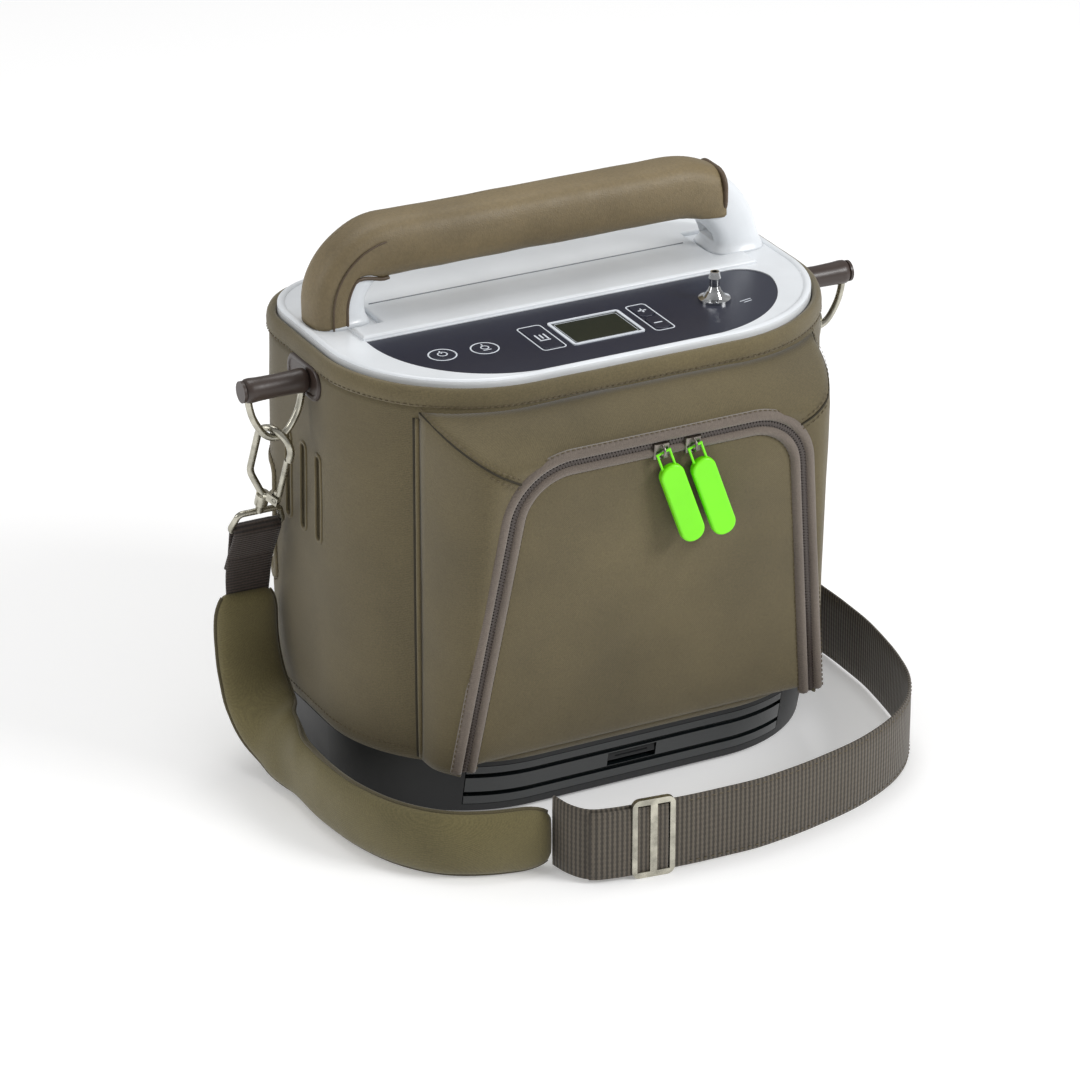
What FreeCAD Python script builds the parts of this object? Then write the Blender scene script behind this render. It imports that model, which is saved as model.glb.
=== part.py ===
"""Portable oxygen concentrator in its fabric carry case, with shoulder strap.

Frame: millimetres, X to the right, Y to the back, Z up. The origin is the middle of the
footprint on the surface that the case stands on. The control panel is on top, near the front.
"""
import FreeCAD, Part
import math
import os
import re
from FreeCAD import Placement, Rotation, Vector

import Sketcher

doc = FreeCAD.newDocument("oxygen_concentrator")

# ---------------------------------------------------------------- driving dimensions
SIZES = [
    ("case_width", 264, "fabric case, outside, left to right"),
    ("case_depth", 168, "fabric case, outside, front to back"),
    ("front_radius", 78, "corner radius of the case at the front"),
    ("rear_radius", 42, "corner radius of the case at the back"),
    ("fabric", 4, "thickness of the padded case wall"),
    ("case_low", 32, "lower edge of the fabric"),
    ("case_high", 219, "upper edge of the fabric, under the rim binding"),
    ("rim_high", 229.5, "top of the rim binding"),
    ("base_width", 262, "plastic base at its top"),
    ("base_depth", 165, "plastic base at its top"),
    ("sole_width", 256, "plastic base at its underside"),
    ("sole_depth", 152, "plastic base at its underside"),
    ("sole_high", 2, "underside of the base above the floor"),
    ("base_floor", 4, "thickness of the base's floor"),
    ("bay_width", 176, "battery fascia, left to right"),
    ("bay_high", 29, "top of the battery bay"),
    ("shell_inset", 4.5, "housing face inside the case outline"),
    ("shell_wall", 2.5, "housing wall"),
    ("deck_low", 226, "lower edge of the top housing"),
    ("deck_high", 232, "top face of the top housing"),
    ("deck_plate", 3, "thickness of the top housing"),
    ("panel_low", 230.2, "seat of the control panel"),
    ("panel_thick", 1.4, "thickness of the control panel"),
    ("panel_width", 214, "control panel, left to right"),
    ("panel_front", 75.5, "front edge of the panel, ahead of the middle"),
    ("panel_back", 7, "back edge of the panel, ahead of the middle"),
    ("key_travel", 0.7, "travel of a key"),
    ("key_gap", 0.3, "play round a key"),
    ("handle_half", 109, "middle of a handle leg from the middle plane"),
    ("handle_back", 25, "handle behind the middle plane"),
    ("handle_line", 267, "height of the middle of the grip"),
    ("grip_thick", 30, "grip, seen from the front"),
    ("grip_deep", 28, "grip, front to back"),
    ("shaft_side", 75, "height of the compressor shaft"),
    ("shaft_across", 35, "compressor shaft right of the middle"),
    ("bore_radius", 17, "compressor cylinder"),
    ("stroke_half", 5, "half of the piston stroke"),
    ("pocket_foot", 87, "pocket flap at its hinge, ahead of the middle"),
    ("pocket_low", 36, "height of the flap's hinge"),
    ("pocket_lean", 7.2, "forward lean of the flap, degrees"),
    ("flap_thick", 2.6, "pocket flap"),
    ("flap_half", 96, "half width of the flap at its hinge"),
    ("flap_tall", 162, "flap from hinge to top edge"),
    ("flap_corner", 30, "rounding of the flap's top corners"),
    ("flap_slope", 7.5, "inward slope of the flap's sides, degrees"),
    ("ring_across", 150, "middle of a strap ring from the middle plane"),
    ("ring_back", 5, "strap ring axis behind the middle plane"),
    ("ring_high", 213, "height of the strap ring axis"),
    ("ring_wire", 1.8, "radius of the ring's wire"),
    ("ring_drop", 27, "ring axis to the bottom of the ring"),
    ("ring_half", 14.5, "half width of the ring"),
    ("hook_lean", 25, "lean of the hooks, degrees from upright"),
    ("hook_turn", -60, "turn of the hooks about their length, degrees"),
    ("hook_wire", 1.8, "radius of the hook's wire"),
    ("hook_tall", 52, "hook from swivel to crown"),
    ("web_wide", 38, "strap webbing width"),
    ("web_thick", 2.2, "strap webbing thickness"),
    ("tab_wide", 25, "strap end width at the hooks"),
    ("pad_wide", 33, "shoulder pad width"),
    ("pad_thick", 13, "shoulder pad thickness"),
]
sheet = doc.addObject("Spreadsheet::Sheet", "Sizes")
for row, (alias, value, note) in enumerate(SIZES, start=1):
    sheet.set(f"A{row}", note)
    sheet.set(f"B{row}", str(value))
    sheet.setAlias(f"B{row}", alias)
doc.recompute()
ALIASES = {alias for alias, _, _ in SIZES}
NODES = []


def size(alias):
    """A driving dimension as a number."""
    return float(sheet.get(alias))


def bind(item, prop, text):
    """Bind a property to a formula in which sheet names stand for themselves."""
    named = re.sub(r"[a-z_]+", lambda m: f"Sizes.{m[0]}" if m[0] in ALIASES else m[0], str(text))
    item.setExpression(prop, named)


def node(label, item):
    """Name a finished sub-part, which is written to its own file."""
    item.Label = label
    NODES.append(item)
    return item


# ---------------------------------------------------------------- primitives and booleans
TURNS = {"X": Rotation(Vector(0, 1, 0), 90), "Y": Rotation(Vector(1, 0, 0), -90), "Z": Rotation()}


def place(item, x, y, z, turn=None):
    if turn:
        item.Placement = Placement(Vector(), turn)
    for key, text in zip("xyz", (x, y, z)):
        bind(item, f"Placement.Base.{key}", text)
    return item


def box(name, middle, base, dims, turn=None):
    """A box by its middle in X and Y, the height of its underside and its three dimensions."""
    item = doc.addObject("Part::Box", name)
    for prop, text in zip(("Length", "Width", "Height"), dims):
        bind(item, prop, text)
    x, y = (f"({m}) - ({d}) / 2" for m, d in zip(middle, dims))
    return place(item, x, y, base, turn)


def rod(name, start, radius, length, axis="Z"):
    """A cylinder from its start point along +X, +Y or +Z."""
    item = doc.addObject("Part::Cylinder", name)
    bind(item, "Radius", radius)
    bind(item, "Height", length)
    return place(item, *start, TURNS[axis])


def fuse(name, *items):
    item = doc.addObject("Part::MultiFuse", name)
    item.Shapes = list(items)
    item.Refine = True
    return item


def cut(name, base, *tools):
    item = doc.addObject("Part::Cut", name)
    item.Base = base
    item.Tool = tools[0] if len(tools) == 1 else fuse(name + "_tool", *tools)
    return item


def common(name, base, tool):
    item = doc.addObject("Part::Common", name)
    item.Base = base
    item.Tool = tool
    return item


def group(name, *items):
    """Separate solids kept in one sub-part."""
    item = doc.addObject("Part::Compound", name)
    item.Links = list(items)
    return item


def edge_runs(edge, axis):
    return edge.Curve.TypeId == "Part::GeomLine" and abs(edge.Curve.Direction.dot(axis)) > 0.999


def rounded(name, base, radius, pick):
    """Fillet the edges of base that pick accepts."""
    doc.recompute()
    item = doc.addObject("Part::Fillet", name)
    item.Base = base
    item.Edges = [(i, radius, radius) for i, e in enumerate(base.Shape.Edges, start=1) if pick(e)]
    return item


def upright(edge):
    return edge_runs(edge, Vector(0, 0, 1))


def at_height(z):
    return lambda e: abs(e.BoundBox.ZMin - z) < 0.01 and abs(e.BoundBox.ZMax - z) < 0.01


def feature(name, shape, place_at=None):
    """A free shape made with Part's own functions."""
    item = doc.addObject("Part::Feature", name)
    item.Shape = shape
    if place_at:
        item.Placement = place_at
    return item


# ---------------------------------------------------------------- rounded outlines
def plane_of(body, role="XY_Plane"):
    return next(f for f in body.Origin.OriginFeatures if f.Role == role)


def outline(body, name, half, ahead, behind, front, rear, z):
    """A rounded rectangle: half width, reach to front and back, and two corner radii."""
    sketch = body.newObject("Sketcher::SketchObject", name)
    sketch.AttachmentSupport = [(plane_of(body), "")]
    sketch.MapMode = "FlatFace"
    bind(sketch, "AttachmentOffset.Base.z", z)
    wide, deep, arc = 120.0, 75.0, 30.0
    corners = [(1, -1), (1, 1), (-1, 1), (-1, -1)]
    geometry = []
    for turn, (sx, sy) in enumerate(corners):
        px, py = corners[turn - 1]
        middle = Vector(sx * (wide - arc), sy * (deep - arc), 0)
        before = Vector(px * (wide - arc), py * (deep - arc), 0)
        out = Vector(math.cos(math.radians(90 * turn - 90)), math.sin(math.radians(90 * turn - 90)), 0) * arc
        geometry.append(Part.LineSegment(before + out, middle + out))
        circle = Part.Circle(middle, Vector(0, 0, 1), arc)
        geometry.append(Part.ArcOfCircle(circle, math.radians(90 * turn - 90), math.radians(90 * turn)))
    sketch.addGeometry(geometry, False)
    rules = [Sketcher.Constraint("Tangent", i, 2, (i + 1) % 8, 1) for i in range(8)]
    rules += [Sketcher.Constraint(kind, i) for kind, i in
              (("Horizontal", 0), ("Vertical", 2), ("Horizontal", 4), ("Vertical", 6))]
    rules += [Sketcher.Constraint("Equal", 1, 7), Sketcher.Constraint("Equal", 3, 5)]
    sketch.addConstraint(rules)
    for label, rule, text in (
        ("front", Sketcher.Constraint("Radius", 1, arc), front),
        ("rear", Sketcher.Constraint("Radius", 3, arc), rear),
        ("right", Sketcher.Constraint("DistanceX", -1, 1, 2, 1, wide), half),
        ("left", Sketcher.Constraint("DistanceX", 6, 1, -1, 1, wide), half),
        ("ahead", Sketcher.Constraint("DistanceY", 0, 1, -1, 1, deep), ahead),
        ("behind", Sketcher.Constraint("DistanceY", -1, 1, 4, 1, deep), behind),
    ):
        index = sketch.addConstraint(rule)
        sketch.renameConstraint(index, label)
        bind(sketch, f"Constraints.{label}", text)
    return sketch


def case_outline(body, name, inset, z):
    """The case's own outline, moved inwards by inset."""
    return outline(body, name, f"case_width / 2 - ({inset})", f"case_depth / 2 - ({inset})",
                   f"case_depth / 2 - ({inset})", f"front_radius - ({inset})",
                   f"rear_radius - ({inset})", z)


def padded_body(name, sketch_of, height):
    body = doc.addObject("PartDesign::Body", name)
    sketch = sketch_of(body, name + "_outline")
    pad = body.newObject("PartDesign::Pad", name + "_pad")
    pad.Profile = sketch
    bind(pad, "Length", height)
    return body


def prism(name, inset, low, high):
    """A slab with the case's outline between two heights."""
    return padded_body(name, lambda b, n: case_outline(b, n, inset, low), f"({high}) - ({low})")


def ring(name, outer, inner, low, high):
    """A wall that follows the case's outline between two insets."""
    return cut(name, prism(name + "_outer", outer, low, high), prism(name + "_inner", inner, low, high))


def base_block(name, inset, low_trim=0):
    """The flared body of the base, moved inwards by inset."""
    body = doc.addObject("PartDesign::Body", name)
    foot = outline(body, name + "_foot", f"sole_width / 2 - {inset}", f"sole_depth / 2 - {inset}",
                   f"sole_depth / 2 - {inset}", f"front_radius - 4 - {inset}",
                   f"rear_radius - 4 - {inset}", f"sole_high + {low_trim}")
    brim = outline(body, name + "_brim", f"base_width / 2 - {inset}", f"base_depth / 2 - {inset}",
                   f"base_depth / 2 - {inset}", f"front_radius - 1 - {inset}",
                   f"rear_radius - 1 - {inset}", "case_low")
    loft = body.newObject("PartDesign::AdditiveLoft", name + "_loft")
    loft.Profile = foot
    loft.Sections = [brim]
    loft.Ruled = True
    return body


# ---------------------------------------------------------------- base and battery
def make_base():
    bay = box("bay_mouth", (0, "-case_depth / 2"), "sole_high + base_floor",
              ("bay_width + 0.8", 40, "bay_high - sole_high - base_floor"))
    hollow = base_block("tray_hollow", 3, "base_floor")
    tray = cut("tray_bowl", base_block("tray_body", 0), hollow, bay)
    rails = [box(f"rail_{side}", (f"{sign} * 91.5", -6), "sole_high + base_floor", (4, 118, 22))
             for side, sign in (("left", -1), ("right", 1))]
    stop = box("rear_stop", (0, 56.5), "sole_high + base_floor", (60, 4, 20))
    sunk = [rod(f"foot_seat_{i}", (x, y, "sole_high - 1"), 8.2, 3)
            for i, (x, y) in enumerate(FOOT_PLACES)]
    jack_hole = rod("jack_hole", (66, 60, 17), 5.8, 40, "Y")
    blade_slot = box("blade_slot", (0, 56.5), 12, (31, 6, 8))
    node("base_tray", cut("base_tray_solid", fuse("tray_fused", tray, *rails, stop), *sunk, jack_hole, blade_slot))
    node("rubber_feet", group("feet_group", *[rod(f"foot_{i}", (x, y, 0), 8, 3.8)
                                              for i, (x, y) in enumerate(FOOT_PLACES)]))


FOOT_PLACES = [(-92, -38), (92, -38), (-98, 46), (98, 46), (0, 0)]
BLADE_PLACES = [-12, -4, 4, 12]


def make_battery():
    pack = box("pack_block", (0, -6.5), "sole_high + base_floor + 0.3", ("bay_width - 3", 117, 21.6))
    pack = rounded("pack_soft", pack, 3, lambda e: edge_runs(e, Vector(0, 1, 0)))
    slots = [box(f"pack_slot_{i}", (x, 48), 12, (2, 14, 8)) for i, x in enumerate(BLADE_PLACES)]
    node("battery_pack", cut("battery_pack_solid", pack, *slots))
    face = common("fascia_face", base_block("fascia_block", 0),
                  box("fascia_span", (0, -85), "sole_high + base_floor + 0.3",
                      ("bay_width", 40, "bay_high - sole_high - base_floor - 0.6")))
    grooves = cut("fascia_ribs", base_block("fascia_skin", -2), base_block("fascia_core", 2.2))
    bands = fuse("fascia_bands", *[box(f"band_{i}", (0, -85), z, (300, 60, 2.6))
                                   for i, z in enumerate((11, 22))])
    slot = box("latch_slot", (0, -78), 13.8, (27, 16, 7.6))
    node("battery_fascia", cut("fascia_solid", face, common("fascia_grooves", grooves, bands), slot))
    key = rounded("latch_soft", box("latch_block", (0, -74.6), 16.1, (26, 8.4, 5)), 1.2,
                  lambda e: edge_runs(e, Vector(1, 0, 0)))
    node("battery_latch", cut("latch_solid", key, box("latch_grip", (0, -79), 18.2, (18, 1.6, 0.8))))
    node("battery_contacts", group("blade_group", *[box(f"blade_{i}", (x, 51.8), 13, (0.8, 13.4, 6))
                                                    for i, x in enumerate(BLADE_PLACES)]))
    node("contact_block", box("contact_block_solid", (0, 61.6), 11, (36, 6, 12)))
    barrel = rod("jack_barrel", (66, 62, 17), 5.5, 17.5, "Y")
    shell = cut("jack_shell", barrel, rod("jack_bore", (66, 68, 17), 3.2, 14, "Y"))
    node("dc_inlet", fuse("jack_solid", shell, rod("jack_pin", (66, 67, 17), 1, 10, "Y")))


# ---------------------------------------------------------------- housing and inside
VENT_PLACES = [-5, 12, 29]


def vent_cutter(name, width, wall):
    """Three upright vent slits through both side walls."""
    slits = []
    for i, y in enumerate(VENT_PLACES):
        slits.append(box(f"{name}_{i}", (0, y), 132, ("case_width + 20", width, 44)))
    inside = box(f"{name}_keep", (0, 12), 100, (f"case_width - 2 * ({wall})", 90, 100))
    return cut(name, fuse(name + "_slits", *slits), inside)


def make_housing():
    louvres = fuse("louvre_tool", *[box(f"louvre_{i}", (-126, 66), 94 + 9 * i, (60, 44, 5)) for i in range(6)])
    shell = ring("housing_wall", "shell_inset", "shell_inset + shell_wall", 35, "deck_low")
    shell = cut("housing_open", shell, vent_cutter("housing_vents", 5, 14), louvres)
    halves = (("front_housing", "-case_depth / 4 - 0.05"), ("rear_housing", "case_depth / 4 + 0.05"))
    for name, y in halves:
        span = box(name + "_span", (0, y), 30, ("case_width + 20", "case_depth / 2", 210))
        node(name, common(name + "_solid", shell, span))
    node("chassis", make_chassis())


def make_chassis():
    plate = prism("chassis_plate", "shell_inset", "case_low", 35)
    stand = box("manifold_stand", (-46, -10), 35, (6, 40, 65))
    shelf = box("manifold_shelf", (-44, -10), 97, (28, 50, 3))
    clips = [box(f"board_post_{i}", (x, -52), 35, (6, 6, 20)) for i, x in enumerate((-10, 80))]
    struts = [box(f"board_strut_{i}", (x, y), 35, (5, 5, tall)) for i, (x, y, tall) in
              enumerate(((-55, -55, 183.6), (8, 68, 194), (62, 68, 194)))]
    return fuse("chassis_solid", plate, stand, shelf, *clips, *struts)


def make_compressor():
    x, z = "shaft_across", "shaft_side"
    case = box("crankcase", (x, 0), 45, (44, 60, 60))
    case = rounded("crankcase_soft", case, 5, upright)
    sleeves = rod("sleeves", (f"{x} - 48", 0, z), "bore_radius + 4", 96, "X")
    bores = rod("bores", (f"{x} - 49", 0, z), "bore_radius", 98, "X")
    room = rod("crank_room", (x, -24, z), 20, 48, "Y")
    shaft_bore = rod("shaft_bore", (x, -28.4, z), 5.3, 62, "Y")
    node("compressor_block", cut("compressor_solid", fuse("compressor_mass", case, sleeves), bores, room, shaft_bore))
    heads = []
    for side, sign in (("left", -1), ("right", 1)):
        head = box(f"head_{side}", (f"{x} + {sign} * 54", 0), f"{z} - 22", (12, 44, 44))
        head = rounded(f"head_{side}_soft", head, 6, lambda e: edge_runs(e, Vector(1, 0, 0)))
        fins = [box(f"fin_{side}_{i}", (f"{x} + {sign} * 58.5", 0), f"{z} - 15 + {i} * 6", (4, 50, 3))
                for i in range(5)]
        heads.append(cut(f"head_{side}_finned", head, *fins))
    node("cylinder_heads", group("heads_group", *heads))
    motor = fuse("motor_can", rod("motor_body", (x, 30.2, z), 27, 30, "Y"), rod("motor_boss", (x, 60.2, z), 9, 5, "Y"))
    node("compressor_motor", cut("motor_solid", motor, rod("motor_bore", (x, 30, z), 5.3, 33, "Y")))
    node("crank_shaft", fuse("shaft_solid", rod("shaft_rod", (x, -28, z), 5, 90, "Y"),
                             rod("eccentric", (x, -8, f"{z} + 3.4"), 9, 16, "Y"),
                             rod("counterweight", (x, 9, f"{z} - 3"), 11, 8, "Y")))
    for side, sign in (("left", -1), ("right", 1)):
        crown = rod(f"piston_{side}_crown", (f"{x} + {sign} * 32 - 5", 0, z), "bore_radius - 0.3", 10, "X")
        stub = rod(f"piston_{side}_rod", (f"{x} + {sign} * 24 - 4", 0, z), 4, 8, "X")
        node(f"piston_{side}", fuse(f"piston_{side}_solid", crown, stub))
    node("compressor_mounts", group("mounts_group", *[rod(f"mount_{i}", (f"{x} + {dx}", dy, 35), 6, 10)
                                                      for i, (dx, dy) in enumerate(((-14, -20), (14, -20),
                                                                                    (-14, 20), (14, 20)))]))


BED_PLACES = (("front", -24.5), ("rear", 26.5))


def make_oxygen_circuit():
    beds = []
    for name, y in BED_PLACES:
        wall = rod(f"bed_{name}_wall", (-92, y, 35), 23, 150)
        rims = [rod(f"bed_{name}_{end}", (-92, y, z), 24.5, tall) for end, z, tall in
                (("foot", 35, 6), ("head", 178, 8))]
        beds.append(cut(f"bed_{name}", fuse(f"bed_{name}_out", wall, *rims),
                        rod(f"bed_{name}_room", (-92, y, 38), 21.2, 142)))
    node("sieve_beds", group("beds_group", *beds))
    tank = cut("tank_wall", rod("tank_out", (-48, 48, 35), 17, 115), rod("tank_room", (-48, 48, 37.5), 14.8, 110))
    node("product_tank", tank)
    manifold = rounded("manifold_soft", box("manifold_block", (-44, -10), 100, (28, 50, 24)), 2, upright)
    coils = [rod(f"coil_{i}", (-44, y, 124), 5.8, 24) for i, y in enumerate((-28, -15, 0, 11))]
    node("valve_manifold", manifold)
    node("solenoid_valves", group("coils_group", *coils))
    filter_turn = Rotation(Vector(0, 0, 1), 45)
    foam = box("filter_block", (0, 0), 95, (30, 7, 50))
    foam.Placement = Placement(Vector(), filter_turn)
    bind(foam, "Placement.Base.x", "-109.4 - (15 - 3.5) * sqrt(0.5)")
    bind(foam, "Placement.Base.y", "61.4 - (15 + 3.5) * sqrt(0.5)")
    node("intake_filter", foam)


def make_fan():
    frame = box("fan_frame", (111, 12), 120, (14, 68, 68))
    throat = rod("fan_throat", (103, 12, 154), 31, 16, "X")
    spokes = [box("fan_bar", (105.5, 12), 122, (3, 5, 64)), rod("fan_seat", (104, 12, 154), 9, 3, "X")]
    legs = [box(f"fan_leg_{i}", (111, y), 35, (10, 7, 85)) for i, y in enumerate((-18.5, 42.5))]
    node("fan_housing", fuse("fan_housing_solid", cut("fan_ring", frame, throat), *spokes, *legs))
    hub = rod("fan_hub", (107.5, 12, 154), 11, 9, "X")
    blades = []
    for i in range(7):
        blade = Part.makeBox(1.4, 9, 19.5, Vector(-0.7, -4.5, 10))
        blade.rotate(Vector(), Vector(0, 0, 1), 48)
        blade.rotate(Vector(), Vector(1, 0, 0), i * 360 / 7)
        blade.translate(Vector(112, 12, 154))
        blades.append(feature(f"fan_blade_{i}", blade))
    node("fan_rotor", fuse("fan_rotor_solid", hub, *blades))


# ---------------------------------------------------------------- tubes and swept pieces
def bent_path(points, radii):
    """Straight runs joined by tangent arcs, one radius for each inner point."""
    points = [Vector(*p) for p in points]
    edges, start = [], points[0]
    for before, corner, after, radius in zip(points, points[1:], points[2:], radii):
        into = (corner - before).normalize()
        out = (after - corner).normalize()
        turn = into.getAngle(out)
        reach = radius * math.tan(turn / 2)
        first, last = corner - into * reach, corner + out * reach
        bisector = (out - into).normalize()
        middle = corner + bisector * (radius / math.cos(turn / 2) - radius)
        edges += [Part.LineSegment(start, first).toShape(), Part.Arc(first, middle, last).toShape()]
        start = last
    edges.append(Part.LineSegment(start, points[-1]).toShape())
    return Part.Wire(edges)


def round_tube(points, radii, radius):
    path = bent_path(points, radii)
    start, along = Vector(*points[0]), Vector(*points[1]) - Vector(*points[0])
    profile = Part.Wire(Part.makeCircle(radius, start, along))
    return path.makePipeShell([profile], True, False)


def make_hoses():
    x, z = size("shaft_across"), size("shaft_side")
    runs = [
        ([(x - 54, 0, z + 22), (x - 54, 0, 112), (-30, 0, 112)], [6]),
        ([(-44, 15, 112), (-44, 30.9, 112)], []),
        ([(-92, -24.5, 186), (-92, -24.5, 205), (-92, 26.5, 205), (-92, 26.5, 186)], [12, 12]),
        ([(-48, 48, 150), (-48, 48, 199), (66.7, -37, 199), (66.7, -37, 212)], [10, 10]),
    ]
    node("air_hoses", group("hoses_group", *[feature(f"hose_{i}", round_tube(p, r, 3.2))
                                             for i, (p, r) in enumerate(runs)]))


# ---------------------------------------------------------------- top housing, panel and keys
POWER, ALARM = (-81.5, -37.5), (-60, -39.5)
MODE, PLUS, MINUS = (-30, -40.5), (28.4, -33.5), (28.4, -50)
DISPLAY, OUTLET = (-1, -41.5), (66.7, -37)


def round_key(name, place_at, grow, low, high):
    return rod(name, (*place_at, low), f"6 + {grow}", f"({high}) - ({low})")


def long_key(name, place_at, dims, grow, low, high):
    block = box(name + "_block", place_at, low, (f"{dims[0]} + 2 * ({grow})", f"{dims[1]} + 2 * ({grow})",
                                                 f"({high}) - ({low})"))
    return rounded(name, block, 3, upright)


def key_solids(tag, grow, low, high):
    """The five keys, grown sideways by grow, between two heights."""
    return [round_key("power" + tag, POWER, grow, low, high), round_key("alarm" + tag, ALARM, grow, low, high),
            long_key("mode" + tag, MODE, (11, 28), grow, low, high),
            long_key("plus" + tag, PLUS, (8.4, 14), grow, low, high),
            long_key("minus" + tag, MINUS, (8.4, 14), grow, low, high)]


def panel_slab(name, grow, low, high):
    """The control panel's outline: straight back, rounded front, a rounder right end."""
    body = padded_body(name + "_oval", lambda b, n: outline(
        b, n, f"panel_width / 2 + {grow}", f"panel_front + {grow}", 50, f"64 + {grow}", 20, low),
        f"({high}) - ({low})")
    keep = box(name + "_keep", (0, f"-panel_back + {grow} - 50"), f"({low}) - 1", (240, 100, f"({high}) - ({low}) + 2"))
    slab = common(name + "_slab", body, keep)
    back = -size("panel_back")

    def right_corner(edge):
        return upright(edge) and edge.BoundBox.XMin > 50 and edge.BoundBox.YMax > back - 1

    return rounded(name, slab, 16, right_corner)


def make_top():
    deck = cut("deck_shell", prism("deck_block", 4.3, "deck_low", "deck_high"),
               prism("deck_room", 7, "deck_low - 1", "deck_high - deck_plate"))
    crown = common("crown_slab", prism("crown_prism", 24, "deck_high - 0.5", "deck_high + 2"),
                   box("crown_keep", (0, 47), 225, (300, 106, 20)))
    crown = cut("crown_notched", crown, *[box(f"leg_room_{i}", (x, "handle_back"), 225, (34, 34, 20))
                                          for i, x in enumerate((-109, 109))])
    crown = rounded("crown_soft", crown, 1.6, at_height(size("deck_high") + 2))
    seat = panel_slab("panel_seat", 0.2, "panel_low", "deck_high + 1")
    glass_hole = box("glass_hole", DISPLAY, 220, (36.4, 27.4, 20))
    stem_hole = rod("stem_hole", (*OUTLET, 220), 4.2, 20)
    screws = [rod(f"screw_hole_{i}", (x, "handle_back", 220), 2.1, 30) for i, x in enumerate((-109, 109))]
    node("top_housing", cut("top_solid", fuse("top_mass", deck, crown), seat, glass_hole, stem_hole,
                            *key_solids("_well", "key_gap", 220, 240), *screws))
    slab = panel_slab("panel_slab", 0, "panel_low", "panel_low + panel_thick")
    frame_hole = box("frame_hole", DISPLAY, 220, (39, 30, 20))
    node("control_panel", cut("panel_solid", slab, frame_hole, rod("stem_bore", (*OUTLET, 220), 4.2, 20),
                              *key_solids("_hole", "key_gap", 220, 240)))
    outer = rounded("bezel_outer", box("bezel_block", DISPLAY, "panel_low", (39, 30, 1.9)), 2, upright)
    node("display_bezel", cut("bezel_solid", outer, box("bezel_hole", DISPLAY, 220, (36, 27, 20))))
    node("display_window", box("window_solid", DISPLAY, "panel_low", (36, 27, 1.4)))
    node("lcd_module", box("lcd_solid", DISPLAY, 220.2, (44, 34, 8.8)))
    names = ("power_key", "alarm_key", "mode_key", "plus_key", "minus_key")
    for name, key in zip(names, key_solids("_cap", 0, 226, 232)):
        node(name, rounded(name + "_soft", key, 0.5, at_height(232)))


def make_boards():
    mat = box("mat_block", (-20, -42), 220.2, (140, 34, 1.8))
    domes = [rod(f"dome_{i}", (*place_at, 221), 3, 4) for i, place_at in
             enumerate((POWER, ALARM, MODE, PLUS, MINUS))]
    room = box("mat_room", DISPLAY, 219, (46, 38, 5))
    node("key_mat", cut("mat_solid", fuse("mat_mass", mat, *domes), room))
    node("display_board", box("display_board_solid", (-18, -38), 218.6, (156, 46, 1.6)))
    chips = [box(f"chip_{i}", (x, -49.4), z, (w, 3, t)) for i, (x, z, w, t) in
             enumerate(((10, 80, 16, 16), (60, 90, 24, 12), (30, 150, 20, 14), (75, 150, 12, 20)))]
    board = box("board_slab", (35, -51.7), 55, (110, 1.6, 130))
    node("main_board", fuse("main_board_solid", board, *chips))


def lathe(name, profile, place_at):
    """A turned piece from (radius, height) points, standing on place_at."""
    wire = Part.makePolygon([Vector(r, 0, z) for r, z in profile + profile[:1]])
    solid = Part.Face(wire).revolve(Vector(), Vector(0, 0, 1), 360)
    return feature(name, Part.Solid(solid) if solid.ShapeType != "Solid" else solid,
                   Placement(Vector(*place_at), Rotation()))


def make_outlet():
    top = size("panel_low") + size("panel_thick")
    barb = [(1.4, -19.6), (3.2, -19.6), (3.2, -13), (4, -12), (4, 0), (8, 0), (8, 1.4), (5.6, 2.2),
            (3.6, 5), (2.5, 7.5), (2.5, 11.5), (3.1, 11.7), (2.2, 15), (1.4, 15)]
    node("outlet_barb", lathe("barb_solid", barb, (*OUTLET, top)))
    hexagon = Part.Face(Part.makePolygon([Vector(7.5 * math.cos(math.radians(60 * i)),
                                                 7.5 * math.sin(math.radians(60 * i)), 0) for i in range(7)]))
    nut = hexagon.extrude(Vector(0, 0, 4)).cut(Part.makeCylinder(4.1, 6, Vector(0, 0, -1)))
    nut.translate(Vector(*OUTLET, 225))
    screws = []
    back, foot = size("handle_back"), size("deck_high")
    for x in (-size("handle_half"), size("handle_half")):
        screws.append(Part.makeCylinder(1.9, 14, Vector(x, back, foot - 3)).fuse(
            Part.makeCylinder(4, 2.6, Vector(x, back, foot - 5.6))))
    node("deck_fasteners", feature("fasteners_group", Part.makeCompound([nut, *screws])))


# ---------------------------------------------------------------- handle
def handle_pipe(wide, deep, corner, points, radii):
    """A rounded rectangular bar swept along the handle's line, which starts upwards."""
    x, y, z = points[0]
    block = Part.makeBox(wide, deep, 1, Vector(-wide / 2, -deep / 2, 0))
    block = block.makeFillet(corner, [e for e in block.Edges if upright(e)])
    face = min(block.Faces, key=lambda f: f.CenterOfMass.z)
    profile = face.OuterWire
    profile.translate(Vector(x, y, z))
    return bent_path(points, radii).makePipeShell([profile], True, False)


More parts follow.
